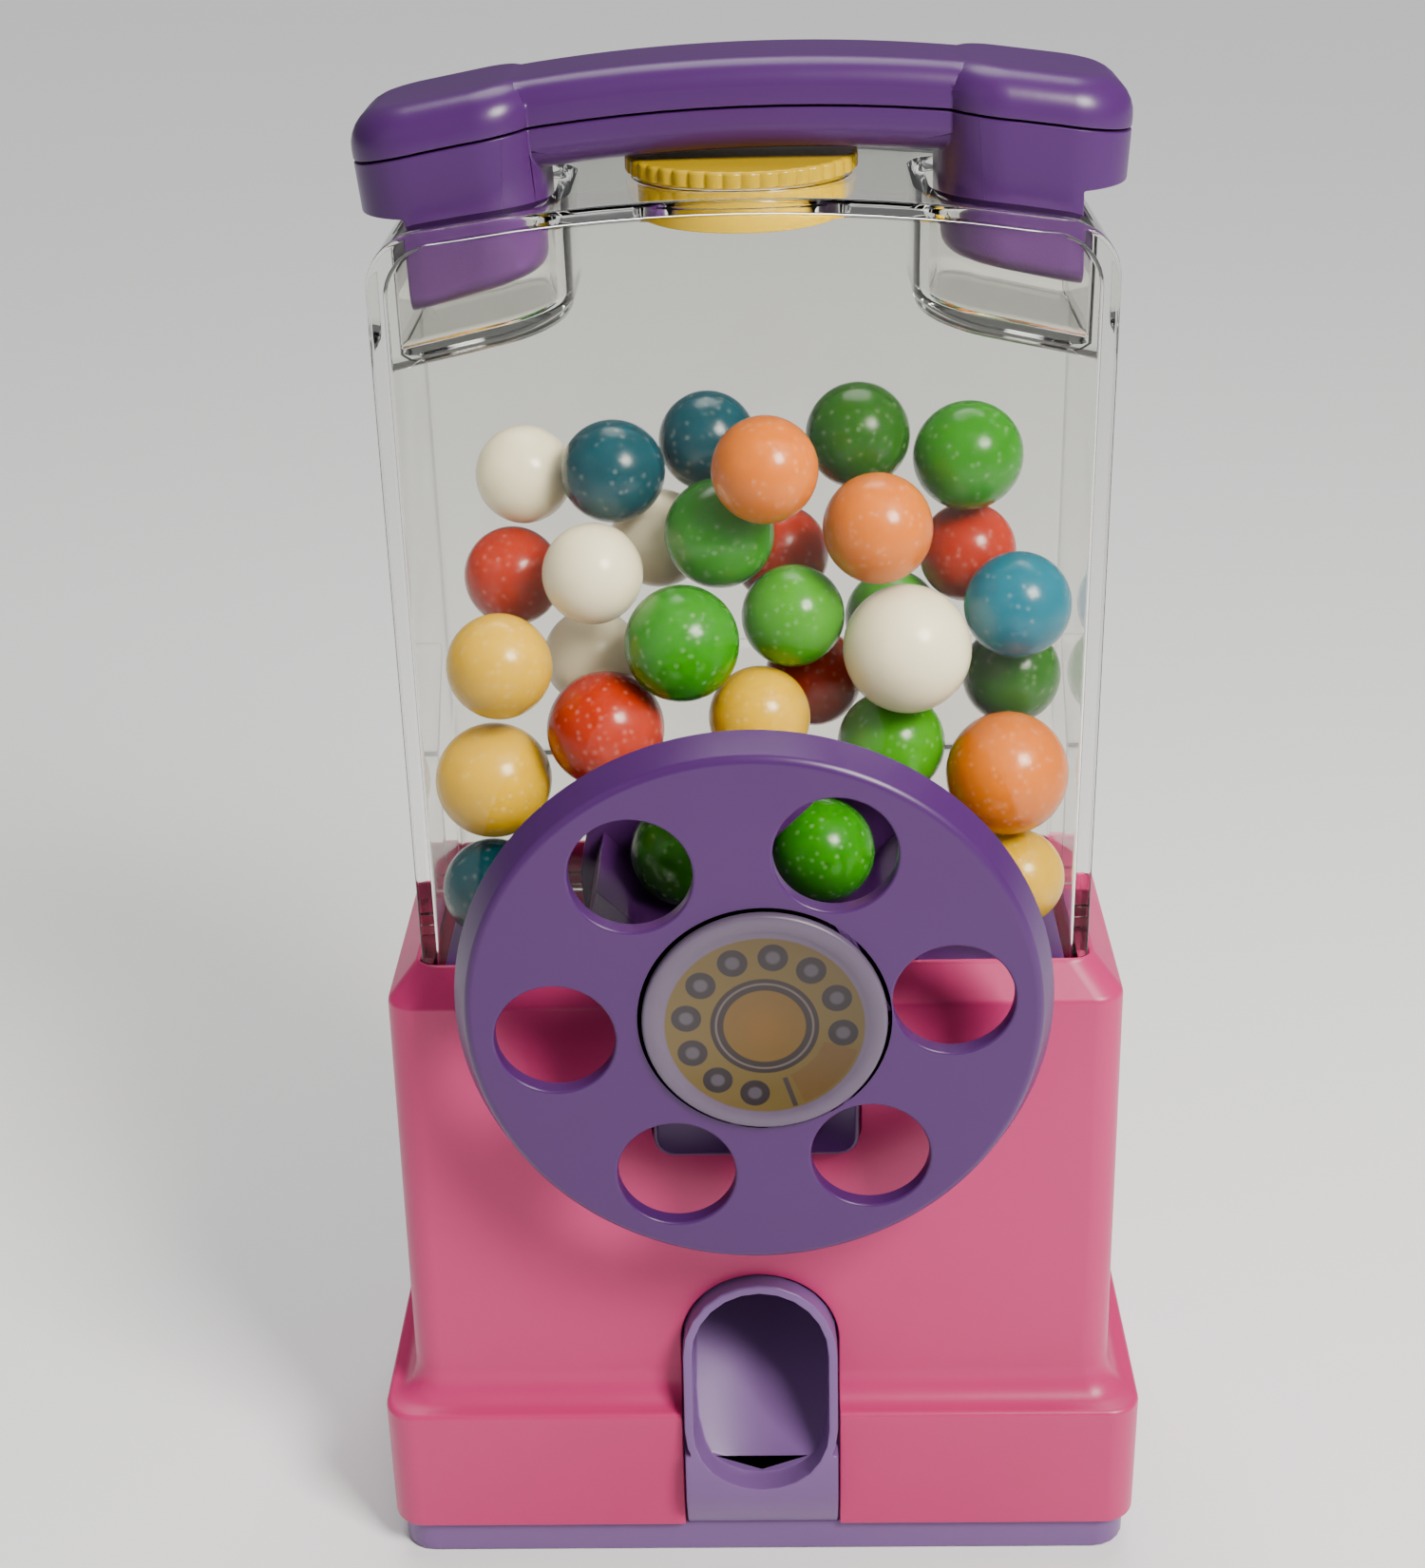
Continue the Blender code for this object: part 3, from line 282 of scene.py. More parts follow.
def moulded_plastic(name, colour, shade, roughness, glow=0.0):
    """Moulded plastic: a slow drift of colour, polish marks and a faint satin grain."""
    mat, nodes, links, shader = new_material(name)
    shader.inputs["IOR"].default_value = 1.46
    shader.inputs["Specular IOR Level"].default_value = 0.4
    if glow:
        shader.inputs["Subsurface Weight"].default_value = glow
        shader.inputs["Subsurface Radius"].default_value = (1.0, 0.35, 0.5)
        shader.inputs["Subsurface Scale"].default_value = 3 * MM
    flow = noise(mat, 22.0, 3.0, 0.6)
    links.new(blend(mat, flow, colour, shade), shader.inputs["Base Color"])
    rub = noise(mat, 75.0, 5.0)
    links.new(spread(mat, rub, roughness - 0.07, roughness + 0.07), shader.inputs["Roughness"])
    emboss(mat, noise(mat, 900.0), 0.04, 0.2 * MM)
    return mat


slot_of = {part["node"]: part["material_slot"] for part in frame["record"]["subparts"]}


def finish_piece(piece, mat, body, node):
    """Give a piece its material and its body, and hide the CAD node it stands for."""
    piece.data.materials.clear()
    piece.data.materials.append(mat)
    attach(piece, body)
    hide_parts(node)


lilac_plastic = moulded_plastic("lilac_plastic", (0.17, 0.085, 0.24), (0.14, 0.07, 0.21), 0.34)
plate = soften(merged_copy("base_plate", "bottom_plate"), 0.45 * MM)
finish_piece(plate, lilac_plastic, "root", "base_plate")
outlet = soften(merged_copy("outlet_chute", "outlet_moulding"), 0.35 * MM)
finish_piece(outlet, lilac_plastic, "root", "outlet_chute")


# ---- Pink housing ----
# The hollow base in pink plastic, one moulding: a foot, a cove above it, a body that tapers
# a little, and a sloping shoulder round the hopper. Bracket and outlet sit in its notches.

shell_low, shell_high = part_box("base_shell")
bracket_low, bracket_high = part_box("bearing_bracket")
outlet_low, outlet_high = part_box("outlet_chute")
gap = 0.3 * MM
foot_top = 27.6 * MM
shoulder_low = 97.1 * MM
foot_radius = 5 * MM


def block(name, low, high):
    """A cube primitive stretched between two corners."""
    bpy.ops.object.select_all(action="DESELECT")
    low, high = Vector(low), Vector(high)
    bpy.ops.mesh.primitive_cube_add(size=1, location=(low + high) / 2, scale=high - low)
    return settle(bpy.context.object, name)


def rod(name, radius, start, end, sides=64):
    """A cylinder primitive between two points on one axis."""
    bpy.ops.object.select_all(action="DESELECT")
    start, end = Vector(start), Vector(end)
    way = end - start
    bpy.ops.mesh.primitive_cylinder_add(
        vertices=sides, radius=radius, depth=way.length, location=(start + end) / 2,
        rotation=way.to_track_quat("Z", "Y").to_matrix().to_euler())
    return settle(bpy.context.object, name)


def round_edges(piece, width, segments, test):
    """Bevel the edges that pass a test."""
    work_on(piece)
    bpy.ops.object.mode_set(mode="EDIT")
    choose(piece, "EDGE", test)
    bpy.ops.mesh.bevel(offset=width, offset_type="OFFSET", segments=segments, affect="EDGES",
                       clamp_overlap=True)
    bpy.ops.object.mode_set(mode="OBJECT")
    return piece


def runs_along(edge, axis, limit=0.99):
    way = edge.verts[1].co - edge.verts[0].co
    return abs(way[axis]) > limit * way.length


def faces_up(face):
    return face.normal.z > 0.99


def grow(piece, steps):
    """Build a wall upwards from the top face: each step is a rise and how far it draws in."""
    work_on(piece)
    bpy.ops.object.mode_set(mode="EDIT")
    top = max(v.co.z for v in bmesh.from_edit_mesh(piece.data).verts)
    choose(piece, "FACE", lambda face: faces_up(face) and face.calc_center_median().z > top - gap)
    for rise, draw_in in steps:
        bpy.ops.mesh.extrude_region_move(TRANSFORM_OT_translate={"value": (0, 0, rise)})
        ring = [v.co for v in bmesh.from_edit_mesh(piece.data).verts if v.select]
        half_x, half_y = max(co.x for co in ring), max(co.y for co in ring)
        bpy.ops.transform.resize(
            value=(1 - draw_in / half_x, 1 - draw_in / half_y, 1), center_override=(0, 0, ring[0].z))
    bpy.ops.object.mode_set(mode="OBJECT")
    return piece


def slice_across(piece, axis, places):
    """Cut the faces along planes square to an axis, without parting the piece."""
    work_on(piece)
    bpy.ops.object.mode_set(mode="EDIT")
    square = [float(axis == i) for i in range(3)]
    for place in places:
        bpy.ops.mesh.select_all(action="SELECT")
        bpy.ops.mesh.bisect(plane_co=[place * part for part in square], plane_no=square)
    bpy.ops.object.mode_set(mode="OBJECT")


def arc_steps(count, degrees, rise, draw_in, hollow=False):
    """Steps for grow() over a rounded edge, or up a hollow cove."""
    steps = []
    for i in range(count):
        start, end = math.radians(degrees * i / count), math.radians(degrees * (i + 1) / count)
        sine, cosine = math.sin(end) - math.sin(start), math.cos(start) - math.cos(end)
        steps.append((rise * cosine, draw_in * sine) if hollow else (rise * sine, draw_in * cosine))
    return steps


edge_round = 0.9 * MM
cove_reach, cove_rise = 4.6 * MM, 5.4 * MM
shoulder_round = 1.2 * MM
shoulder_rise, shoulder_reach = 3.7 * MM, 3.4 * MM
taper = 0.6 * MM
housing = block("pink_housing", shell_low, (shell_high.x, shell_high.y, foot_top - edge_round))
round_edges(housing, foot_radius, 9, lambda edge: runs_along(edge, 2))
grow(housing, [
    *arc_steps(4, 90, edge_round, edge_round),
    *arc_steps(7, 90, cove_rise, cove_reach - edge_round, hollow=True),
    (shoulder_low - edge_round - foot_top - cove_rise, taper),
    *arc_steps(3, 50, shoulder_round, shoulder_round),
    (shoulder_rise, shoulder_reach), (0.5 * MM, 0.2 * MM)])
shell_wall = 2 * MM
inside = block("inside", (shell_low.x + shell_wall, shell_low.y + shell_wall, -5 * MM),
               (shell_high.x - shell_wall, shell_high.y - shell_wall, foot_top - shell_wall))
round_edges(inside, foot_radius - shell_wall, 6, lambda edge: runs_along(edge, 2))
neck_x = 48.0 * MM
grow(inside, [
    (4.0 * MM, cove_reach), (shoulder_low - 2 * shell_wall - foot_top, taper),
    (3.5 * MM, shell_high.x - shell_wall - cove_reach - taper - neck_x), (20 * MM, 0.0)])
slot_half = outlet_high.x + gap
slot_top = 49.8 * MM + gap
slot_front, slot_back = shell_low.y - 5 * MM, -15 * MM
slot = block("slot", (-slot_half, slot_front, -20 * MM), (slot_half, slot_back, slot_top - slot_half))
slot_head = rod("slot_head", slot_half, (0, slot_front, slot_top - slot_half),
                (0, slot_back, slot_top - slot_half))
notch_half = bracket_high.x + gap
notch = block("notch", (-notch_half, slot_front, bracket_low.z - gap),
              (notch_half, slot_back, 125 * MM))
round_edges(notch, 3.2 * MM, 6, lambda edge: runs_along(edge, 1) and edge.verts[0].co.z < 90 * MM)
cut_with(housing, [inside, slot, slot_head, notch])
slice_across(housing, 0, (-30 * MM, 0, 30 * MM))
slice_across(housing, 1, (0,))
soften(housing, 0.28 * MM, 2, 50)
pink_plastic = moulded_plastic("pink_plastic", (0.50, 0.026, 0.14), (0.44, 0.02, 0.12), 0.36, glow=0.06)
finish_piece(housing, pink_plastic, "root", "base_shell")


# ---- Mechanism inside ----
# The purple floor that leads the balls to the wheel and the bracket that carries the shaft are
# plain mouldings, softened at the edges, as are the shaft and the four-pocket wheel.

purple_plastic = moulded_plastic("purple_plastic", (0.062, 0.014, 0.105), (0.052, 0.011, 0.09), 0.33)
for node, body, width in (
    ("wheel_trough", "root", 0.3), ("bearing_bracket", "root", 0.3),
    ("dispensing_wheel", "dial", 0.3), ("drive_shaft", "dial", 0.25),
):
    part = soften(merged_copy(node, "moulded_" + node), width * MM)
    finish_piece(part, purple_plastic, body, node)


# ---- Hopper ----
# The clear styrene box over the base, moulded in one with a crowned top, a hole for the
# refill cap and a pocket with a sloping floor for each end of the handset. Walls of 2 mm.
# The loose shelf that rolls the balls off the wheel's back is clear too.

hopper_low, hopper_high = Vector((-47.7, -20.0, 93.4)) * MM, Vector((47.7, 20.0, 209.4)) * MM
crown_radius = 240 * MM
hopper_wall = 2 * MM
hopper_corner, hopper_edge = 8 * MM, 3.8 * MM
pocket_slope = math.tan(math.radians(12.5))


def crown_drop(x):
    return x * x / (2 * crown_radius)


def crowned_box(name, low, high, corner, edge):
    """A box with its top crowned from side to side, and with rounded corners and edges."""
    piece = block(name, low, high)
    work_on(piece)
    bpy.ops.object.mode_set(mode="EDIT")
    strips = 16
    for i in range(1, strips):
        choose(piece, "FACE", faces_up)
        x = low[0] + (high[0] - low[0]) * i / strips
        bpy.ops.mesh.bisect(plane_co=(x, 0, 0), plane_no=(1, 0, 0))
    choose(piece, "VERT", lambda vert: vert.co.z > high[2] - gap)
    for vert in bmesh.from_edit_mesh(piece.data).verts:
        if vert.select:
            vert.co.z -= crown_drop(vert.co.x)
    bpy.ops.object.mode_set(mode="OBJECT")
    round_edges(piece, corner, 8, lambda e: runs_along(e, 1) and abs(e.verts[0].co.x) > high[0] - gap
                and e.verts[0].co.z > low[2] + gap)
    in_face = high[1] - 0.01 * MM
    round_edges(piece, edge, 6, lambda e: all(abs(v.co.y) > in_face for v in e.verts)
                and e.verts[0].co.y * e.verts[1].co.y > 0
                and max(v.co.z for v in e.verts) > low[2] + gap)
    return piece


def mirror(piece):
    """Swap a piece's left and right."""
    work_on(piece)
    bpy.ops.object.mode_set(mode="EDIT")
    bpy.ops.mesh.select_all(action="SELECT")
    bpy.ops.transform.mirror(constraint_axis=(True, False, False), center_override=(0, 0, 0))
    bpy.ops.mesh.normals_make_consistent(inside=False)
    bpy.ops.object.mode_set(mode="OBJECT")


def pocket_form(name, side, wall):
    """A pocket's space, or with a wall the form round it; the floor slopes down outwards."""
    inner, outer, floor_z = 24.2 * MM - wall, 44.4 * MM, 194 * MM - wall
    if wall:
        outer = 60 * MM
    form = block(name, (inner, -14 * MM - wall, floor_z), (outer, 14 * MM + wall, 225 * MM))
    work_on(form)
    bpy.ops.object.mode_set(mode="EDIT")
    choose(form, "VERT", lambda vert: vert.co.x > inner + gap and vert.co.z < floor_z + gap)
    bpy.ops.transform.translate(value=(0, 0, -pocket_slope * (outer - inner)))
    bpy.ops.object.mode_set(mode="OBJECT")
    round_edges(form, 7 * MM + wall, 9,
                lambda edge: runs_along(edge, 2) and edge.verts[0].co.x < inner + gap)
    round_edges(form, 1.4 * MM + wall / 2, 4,
                lambda edge: not runs_along(edge, 2) and max(v.co.z for v in edge.verts) < floor_z + gap
                and min(v.co.x for v in edge.verts) < outer - gap)
    if side < 0:
        mirror(form)
    return form


overrun = 12 * MM
clear_box = crowned_box("clear_hopper", hopper_low - Vector((0, 0, overrun)), hopper_high,
                        hopper_corner, hopper_edge)
hollow = crowned_box(
    "hollow", (hopper_low.x + hopper_wall, hopper_low.y + hopper_wall, hopper_low.z - 2 * overrun),
    (hopper_high.x - hopper_wall, hopper_high.y - hopper_wall, hopper_high.z - hopper_wall),
    hopper_corner - hopper_wall, hopper_edge - hopper_wall)
cut_with(hollow, [pocket_form("pocket_wall", side, hopper_wall) for side in (1, -1)])
flange_x, flange_y = 49.9 * MM, 22.2 * MM
flange = block("flange", (-flange_x, -flange_y, hopper_low.z),
               (flange_x, flange_y, hopper_low.z + 1.8 * MM))
round_edges(flange, 3 * MM, 5, lambda edge: runs_along(edge, 2))
cut_with(clear_box, [flange], "UNION")
trim = block("trim", (-70 * MM, -40 * MM, 50 * MM), (70 * MM, 40 * MM, hopper_low.z))
shaft_low, shaft_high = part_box("drive_shaft")
shaft_axis = (shaft_low.z + shaft_high.z) / 2
shaft_hole = rod("shaft_hole", 3.9 * MM, (0, -30 * MM, shaft_axis), (0, -10 * MM, shaft_axis))
refill_hole = rod("refill_hole", 14.2 * MM, (0, 0, 200 * MM), (0, 0, 215 * MM), 96)
pockets = [pocket_form("pocket", side, 0.0) for side in (1, -1)]
cut_with(clear_box, [hollow, *pockets, trim, refill_hole, shaft_hole])
soften(clear_box, 0.3 * MM, 2, 50)

clear_plastic, clear_nodes, clear_links, clear_shader = new_material("clear_plastic")
clear_shader.inputs["Base Color"].default_value = (0.93, 0.93, 0.895, 1)
clear_shader.inputs["IOR"].default_value = 1.49
clear_shader.inputs["Transmission Weight"].default_value = 1.0
clear_shader.inputs["Specular Tint"].default_value = (0.2, 0.2, 0.2, 1)
smears = noise(clear_plastic, 40.0, 4.0, 1.2)
haze = spread(clear_plastic, smears, 0.015, 0.07, 0.45, 0.75)
clear_links.new(haze, clear_shader.inputs["Roughness"])
flow_lines = noise(clear_plastic, 16.0)
emboss(clear_plastic, flow_lines, 0.05, 1.0 * MM)
lamp_light = clear_nodes.new("ShaderNodeBsdfTransparent")
lamp_light.inputs["Color"].default_value = (0.94, 0.94, 0.91, 1)
ray = clear_nodes.new("ShaderNodeLightPath")
clear_mix = clear_nodes.new("ShaderNodeMixShader")
clear_links.new(ray.outputs["Is Shadow Ray"], clear_mix.inputs["Fac"])
clear_links.new(clear_shader.outputs["BSDF"], clear_mix.inputs[1])
clear_links.new(lamp_light.outputs["BSDF"], clear_mix.inputs[2])
clear_links.new(clear_mix.outputs["Shader"], clear_nodes["Material Output"].inputs["Surface"])
finish_piece(clear_box, clear_plastic, "root", "hopper")
shelf = soften(merged_copy("rear_baffle", "clear_shelf"), 0.3 * MM)
finish_piece(shelf, clear_plastic, "root", "rear_baffle")


# ---- Gumballs ----
# Sugar-shelled balls of slightly different sizes, loose in the hopper, with two caught in the
# wheel's upper pockets. The shells are polished, faintly mottled and a little out of round.

candy_colours = {
    "white": ((0.72, 0.65, 0.46), (0.62, 0.56, 0.39)),
    "yellow": ((0.50, 0.29, 0.0), (0.45, 0.25, 0.0)),
    "orange": ((0.50, 0.12, 0.0), (0.44, 0.095, 0.0)),
    "red": ((0.30, 0.014, 0.0), (0.24, 0.010, 0.0)),
    "green": ((0.016, 0.16, 0.0), (0.010, 0.13, 0.0)),
    "mint": ((0.038, 0.21, 0.003), (0.028, 0.17, 0.002)),
    "forest": ((0.012, 0.080, 0.001), (0.008, 0.062, 0.001)),
    "teal": ((0.0, 0.040, 0.058), (0.0, 0.032, 0.048)),
    "blue": ((0.0, 0.105, 0.165), (0.0, 0.085, 0.135)),
}


def candy_shell(name, colour, shade):
    """Polished sugar shell: mottled dye, pale specks where it is thin, and a wavy skin."""
    mat, nodes, links, shader = new_material(name)
    shader.inputs["Specular IOR Level"].default_value = 0.3
    shader.inputs["Coat Weight"].default_value = 0.12
    shader.inputs["Coat Roughness"].default_value = 0.08
    dye = noise(mat, 130.0, 6.0)
    place = nodes.new("ShaderNodeTexCoord")
    specks = nodes.new("ShaderNodeTexVoronoi")
    specks.inputs["Scale"].default_value = 700.0
    links.new(place.outputs["Object"], specks.inputs["Vector"])
    thinness = spread(mat, specks.outputs["Distance"], 0.06, 0.0, 0.10, 0.35)
    sugar_colour = blend(mat, thinness, blend(mat, dye, shade, colour), (0.85, 0.80, 0.70))
    links.new(sugar_colour, shader.inputs["Base Color"])
    links.new(spread(mat, dye, 0.16, 0.30), shader.inputs["Roughness"])
    emboss(mat, noise(mat, 420.0, 3.0), 0.10, 0.25 * MM)
    return mat


candy = {f"gumball_{name}": candy_shell(f"candy_{name}", *pair) for name, pair in candy_colours.items()}
bpy.ops.object.select_all(action="DESELECT")
bpy.ops.mesh.primitive_uv_sphere_add(segments=48, ring_count=24, radius=1)
model_ball = bpy.context.object
bpy.ops.object.shade_smooth()
for i, node in enumerate(sorted(node for node in frame["nodes"] if "gumball_" in node)):
    low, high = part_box(node)
    ball = model_ball.copy()
    ball.data = model_ball.data.copy()
    bpy.context.scene.collection.objects.link(ball)
    radius = (high - low).length / (2 * math.sqrt(3))
    ball.location = (low + high) / 2
    ball.scale = (radius, radius * 0.985, radius * (0.975 + 0.005 * (i % 4)))
    ball.rotation_euler = (0.9 * i, 1.7 * i, 2.3 * i)
    settle(ball, node.replace("gumball", "candy_ball"))
    finish_piece(ball, candy[slot_of[node]], "dial" if node.startswith("wheel") else "root", node)
bpy.data.objects.remove(model_ball, do_unlink=True)


# ---- Dial ----
# The finger dial, a purple moulding: a flat face with six finger holes, a short sloping skirt,
# a hub that grips the shaft behind, and a shallow recess for the label, a little off centre.

dial_low, dial_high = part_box("dial")
dial_radius, dial_front = dial_high.x, dial_low.y
dial_back = dial_front + 4.8 * MM
hub_back = dial_high.y
plate_back = dial_front + 2.7 * MM
label_shift = 1.5 * MM
hole_circle = 27.3 * MM
dial = rod("finger_dial", dial_radius, (0, dial_back, shaft_axis), (0, dial_front, shaft_axis), 160)
work_on(dial)
bpy.ops.object.mode_set(mode="EDIT")
choose(dial, "FACE", lambda face: face.normal.y < -0.99)
face_scale = 1 - 2.2 * MM / dial_radius
bpy.ops.transform.resize(value=(face_scale, 1, face_scale), center_override=(0, dial_front, shaft_axis))
bpy.ops.object.mode_set(mode="OBJECT")
round_edges(dial, 0.9 * MM, 4, lambda edge: all(v.co.y < dial_front + gap for v in edge.verts))
skirt_space = rod("skirt_space", dial_radius - 2.7 * MM, (0, dial_back + 5 * MM, shaft_axis),
                  (0, plate_back, shaft_axis), 96)
cut_with(dial, [skirt_space])
cut_with(dial, [rod("hub", 8.5 * MM, (0, hub_back, shaft_axis), (0, plate_back - gap, shaft_axis))], "UNION")
cutters = []
for i in range(6):
    turn = math.radians(5.9 + 60 * i)
    x, z = hole_circle * math.cos(turn), shaft_axis + hole_circle * math.sin(turn)
    cutters.append(rod("finger_hole", 8.3 * MM, (x, dial_front - 5 * MM, z),
                       (x, dial_back + 5 * MM, z), 72))
cutters.append(rod("recess", 16.9 * MM, (label_shift, dial_front - 5 * MM, shaft_axis),
                   (label_shift, dial_front + 0.8 * MM, shaft_axis), 96))
for name, radius, front, back in (
    ("shaft_socket", shaft_high.x + gap, shaft_low.y - gap, -25 * MM),
    ("screw_hole", 1.6 * MM, -45 * MM, -30 * MM),
    ("head_sink", 3.2 * MM, -45 * MM, dial_front + 2.4 * MM),
):
    cutters.append(rod(name, radius, (0, front, shaft_axis), (0, back, shaft_axis), 48))
cut_with(dial, cutters)
soften(dial, 0.42 * MM, 3, 45)
finish_piece(dial, purple_plastic, "dial", "dial")


# ---- Dial label ----
# A round lavender plate with a raised rim, pressed into the dial. Its sunk face is printed with
# a small picture of a dial: ten dark rings, a middle button and a finger stop.

label_low, label_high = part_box("dial_label")
label_radius = (label_high.x - label_low.x) / 2
label_front, label_back = label_low.y, label_high.y
rim_width, rim_height = 2.3 * MM, 0.35 * MM
label = rod("label_plate", label_radius, (label_shift, label_back, shaft_axis),
            (label_shift, label_front, shaft_axis), 128)
round_edges(label, 0.6 * MM, 4, lambda edge: all(v.co.y < label_front + 0.1 * MM for v in edge.verts))
work_on(label)
bpy.ops.object.mode_set(mode="EDIT")
choose(label, "FACE", lambda face: face.normal.y < -0.999)
bpy.ops.mesh.inset(thickness=rim_width - 0.6 * MM, depth=0)
bpy.ops.mesh.inset(thickness=0.35 * MM, depth=-rim_height)
bpy.ops.object.mode_set(mode="OBJECT")
bpy.ops.object.shade_smooth_by_angle(angle=math.radians(50))

label_ink, ink_nodes, ink_links, ink_shader = new_material("printed_label")
ink_place = ink_nodes.new("ShaderNodeTexCoord")
ink_split = ink_nodes.new("ShaderNodeSeparateXYZ")
ink_links.new(ink_place.outputs["Object"], ink_split.inputs["Vector"])


def calc(operation, *values):
    """A math node fed by sockets or constants."""
    node = ink_nodes.new("ShaderNodeMath")
    node.operation = operation
    for socket, value in zip(node.inputs, values):
        if isinstance(value, (int, float)):
            socket.default_value = value
        else:
            ink_links.new(value, socket)
    return node.outputs[0]


def inside_of(how_far, radius, blur=0.12):
    """1 inside the radius and 0 outside it, with the soft edge of printing ink."""
    return calc("ADD", calc("DIVIDE", calc("SUBTRACT", radius, how_far), blur), 0.5)


def product(*factors):
    """The product of two or more values."""
    result = factors[0]
    for factor in factors[1:]:
        result = calc("MULTIPLY", result, factor)
    return result


def distance(across, up):
    """How far away a point is."""
    return calc("SQRT", calc("ADD", product(across, across), product(up, up)))


def ring(inner, outer):
    """1 between two circles round the middle of the label, and 0 elsewhere."""
    return product(calc("GREATER_THAN", reach, inner), calc("LESS_THAN", reach, outer))


across = calc("SUBTRACT", product(ink_split.outputs["X"], 1 / MM), label_shift / MM)
up = calc("SUBTRACT", product(ink_split.outputs["Z"], 1 / MM), shaft_axis / MM - 0.5)
reach = distance(across, up)
angle = calc("ARCTAN2", up, across)
dots, dot_circle, spacing, first_dot = 10, 10.7, math.radians(29.8), math.radians(-6.0)
full_turn, turn_start = math.radians(360), math.radians(50)
turned = calc("MODULO", calc("ADD", angle, full_turn + turn_start), full_turn)
dot_number = calc("ROUND", calc("DIVIDE", calc("SUBTRACT", turned, turn_start + first_dot), spacing))
dot_number = calc("MINIMUM", calc("MAXIMUM", dot_number, 0), dots - 1)
off_dot = calc("SUBTRACT", angle, calc("ADD", product(dot_number, spacing), first_dot))
to_dot = distance(calc("SUBTRACT", product(reach, calc("COSINE", off_dot)), dot_circle),
                  product(reach, calc("SINE", off_dot)))
sector = product(calc("GREATER_THAN", angle, math.radians(-66)),
                 calc("LESS_THAN", angle, math.radians(-17)), ring(8.4, 13.2))
off_stop = calc("ABSOLUTE", product(reach, calc("SINE", calc("SUBTRACT", angle, math.radians(-72)))))
stop_line = product(inside_of(off_stop, 0.35), ring(8.6, 13.4), calc("LESS_THAN", up, 0))

mottle = noise(label_ink, 260.0, 5.0)
dark_ink = (0.013, 0.006, 0.005)
print_colour = blend(label_ink, mottle, (0.085, 0.06, 0.10), (0.105, 0.077, 0.125))
for colour, mask in (
    ((0.085, 0.055, 0.010), inside_of(reach, 13.6, 0.25)),
    ((0.080, 0.038, 0.006), product(sector, 0.8)),
    ((0.012, 0.006, 0.008), inside_of(to_dot, 2.05)),
    ((0.05, 0.04, 0.052), inside_of(to_dot, 0.95, 0.35)),
    ((0.025, 0.016, 0.016), stop_line),
    (dark_ink, inside_of(reach, 7.4)),
    ((0.08, 0.06, 0.058), inside_of(reach, 6.75)),
    (dark_ink, inside_of(reach, 6.45)),
    ((0.095, 0.048, 0.002), inside_of(reach, 5.6)),
    ((0.11, 0.05, 0.001), inside_of(reach, 2.6, 2.5)),
):
    print_colour = blend(label_ink, mask, print_colour, colour)
ink_links.new(print_colour, ink_shader.inputs["Base Color"])
ink_links.new(spread(label_ink, mottle, 0.30, 0.48), ink_shader.inputs["Roughness"])
emboss(label_ink, mottle, 0.06, 0.1 * MM)
finish_piece(label, label_ink, "dial", "dial_label")


# ---- Screws, washer and clip ----
# Zinc-plated pan head screws with a cross slot: four under the base, two up into the handset
# and one through the dial. A nylon washer runs behind the dial, a steel clip holds the shaft.

zinc_steel, zinc_nodes, zinc_links, zinc_shader = new_material("zinc_steel")
zinc_shader.inputs["Metallic"].default_value = 1.0
bloom = noise(zinc_steel, 380.0, 4.0)
zinc_colour = blend(zinc_steel, bloom, (0.56, 0.56, 0.58), (0.68, 0.67, 0.64))
zinc_links.new(zinc_colour, zinc_shader.inputs["Base Color"])
zinc_links.new(spread(zinc_steel, bloom, 0.26, 0.44), zinc_shader.inputs["Roughness"])

head_radius, head_height, model_length = 2.8 * MM, 1.3 * MM, 10 * MM
handset_lean = math.radians(-1.3)
model_screw = rod("model_screw", head_radius, (0, 0, 0), (0, 0, head_height), 40)
round_edges(model_screw, 0.6 * MM, 4, lambda edge: all(v.co.z < gap for v in edge.verts))
shank = rod("shank", 1.2 * MM, (0, 0, head_height - gap), (0, 0, model_length), 24)
round_edges(shank, 0.5 * MM, 2, lambda edge: all(v.co.z > model_length - gap for v in edge.verts))
arm, half_slot, slot_depth = 1.5 * MM, 0.28 * MM, 0.75 * MM
cross_slot = [block("cross_slot", (-x, -y, -MM), (x, y, slot_depth))
              for x, y in ((arm, half_slot), (half_slot, arm))]
cut_with(model_screw, [shank], "UNION")
cut_with(model_screw, cross_slot)
work_on(model_screw)
bpy.ops.object.shade_smooth_by_angle(angle=math.radians(35))
for i, node in enumerate(sorted(node for node in frame["nodes"] if "screw" in node)):
    low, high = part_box(node)
    middle = (low + high) / 2
    screw = model_screw.copy()
    screw.data = model_screw.data.copy()
    bpy.context.scene.collection.objects.link(screw)
    length = high.z - low.z
    if node == "dial_screw":
        screw.location = (0, low.y, shaft_axis)
        screw.rotation_euler = (math.radians(-90), 0, 0)
        length = high.y - low.y
    elif node.startswith("handset"):
        screw.rotation_euler = (0, handset_lean, 0.4 * i)
        screw.location = (middle.x - math.sin(handset_lean) * length / 2, middle.y, low.z)
    else:
        screw.location = (middle.x, middle.y, low.z)
        screw.rotation_euler = (0, 0, 0.7 * i)
    for vert in screw.data.vertices:
        if vert.co.z > head_height + gap:
            vert.co.z += length - model_length - gap
    settle(screw, "steel_" + node)
    body = "dial" if node == "dial_screw" else "handset" if node.startswith("handset") else "root"
    finish_piece(screw, zinc_steel, body, node)
bpy.data.objects.remove(model_screw, do_unlink=True)

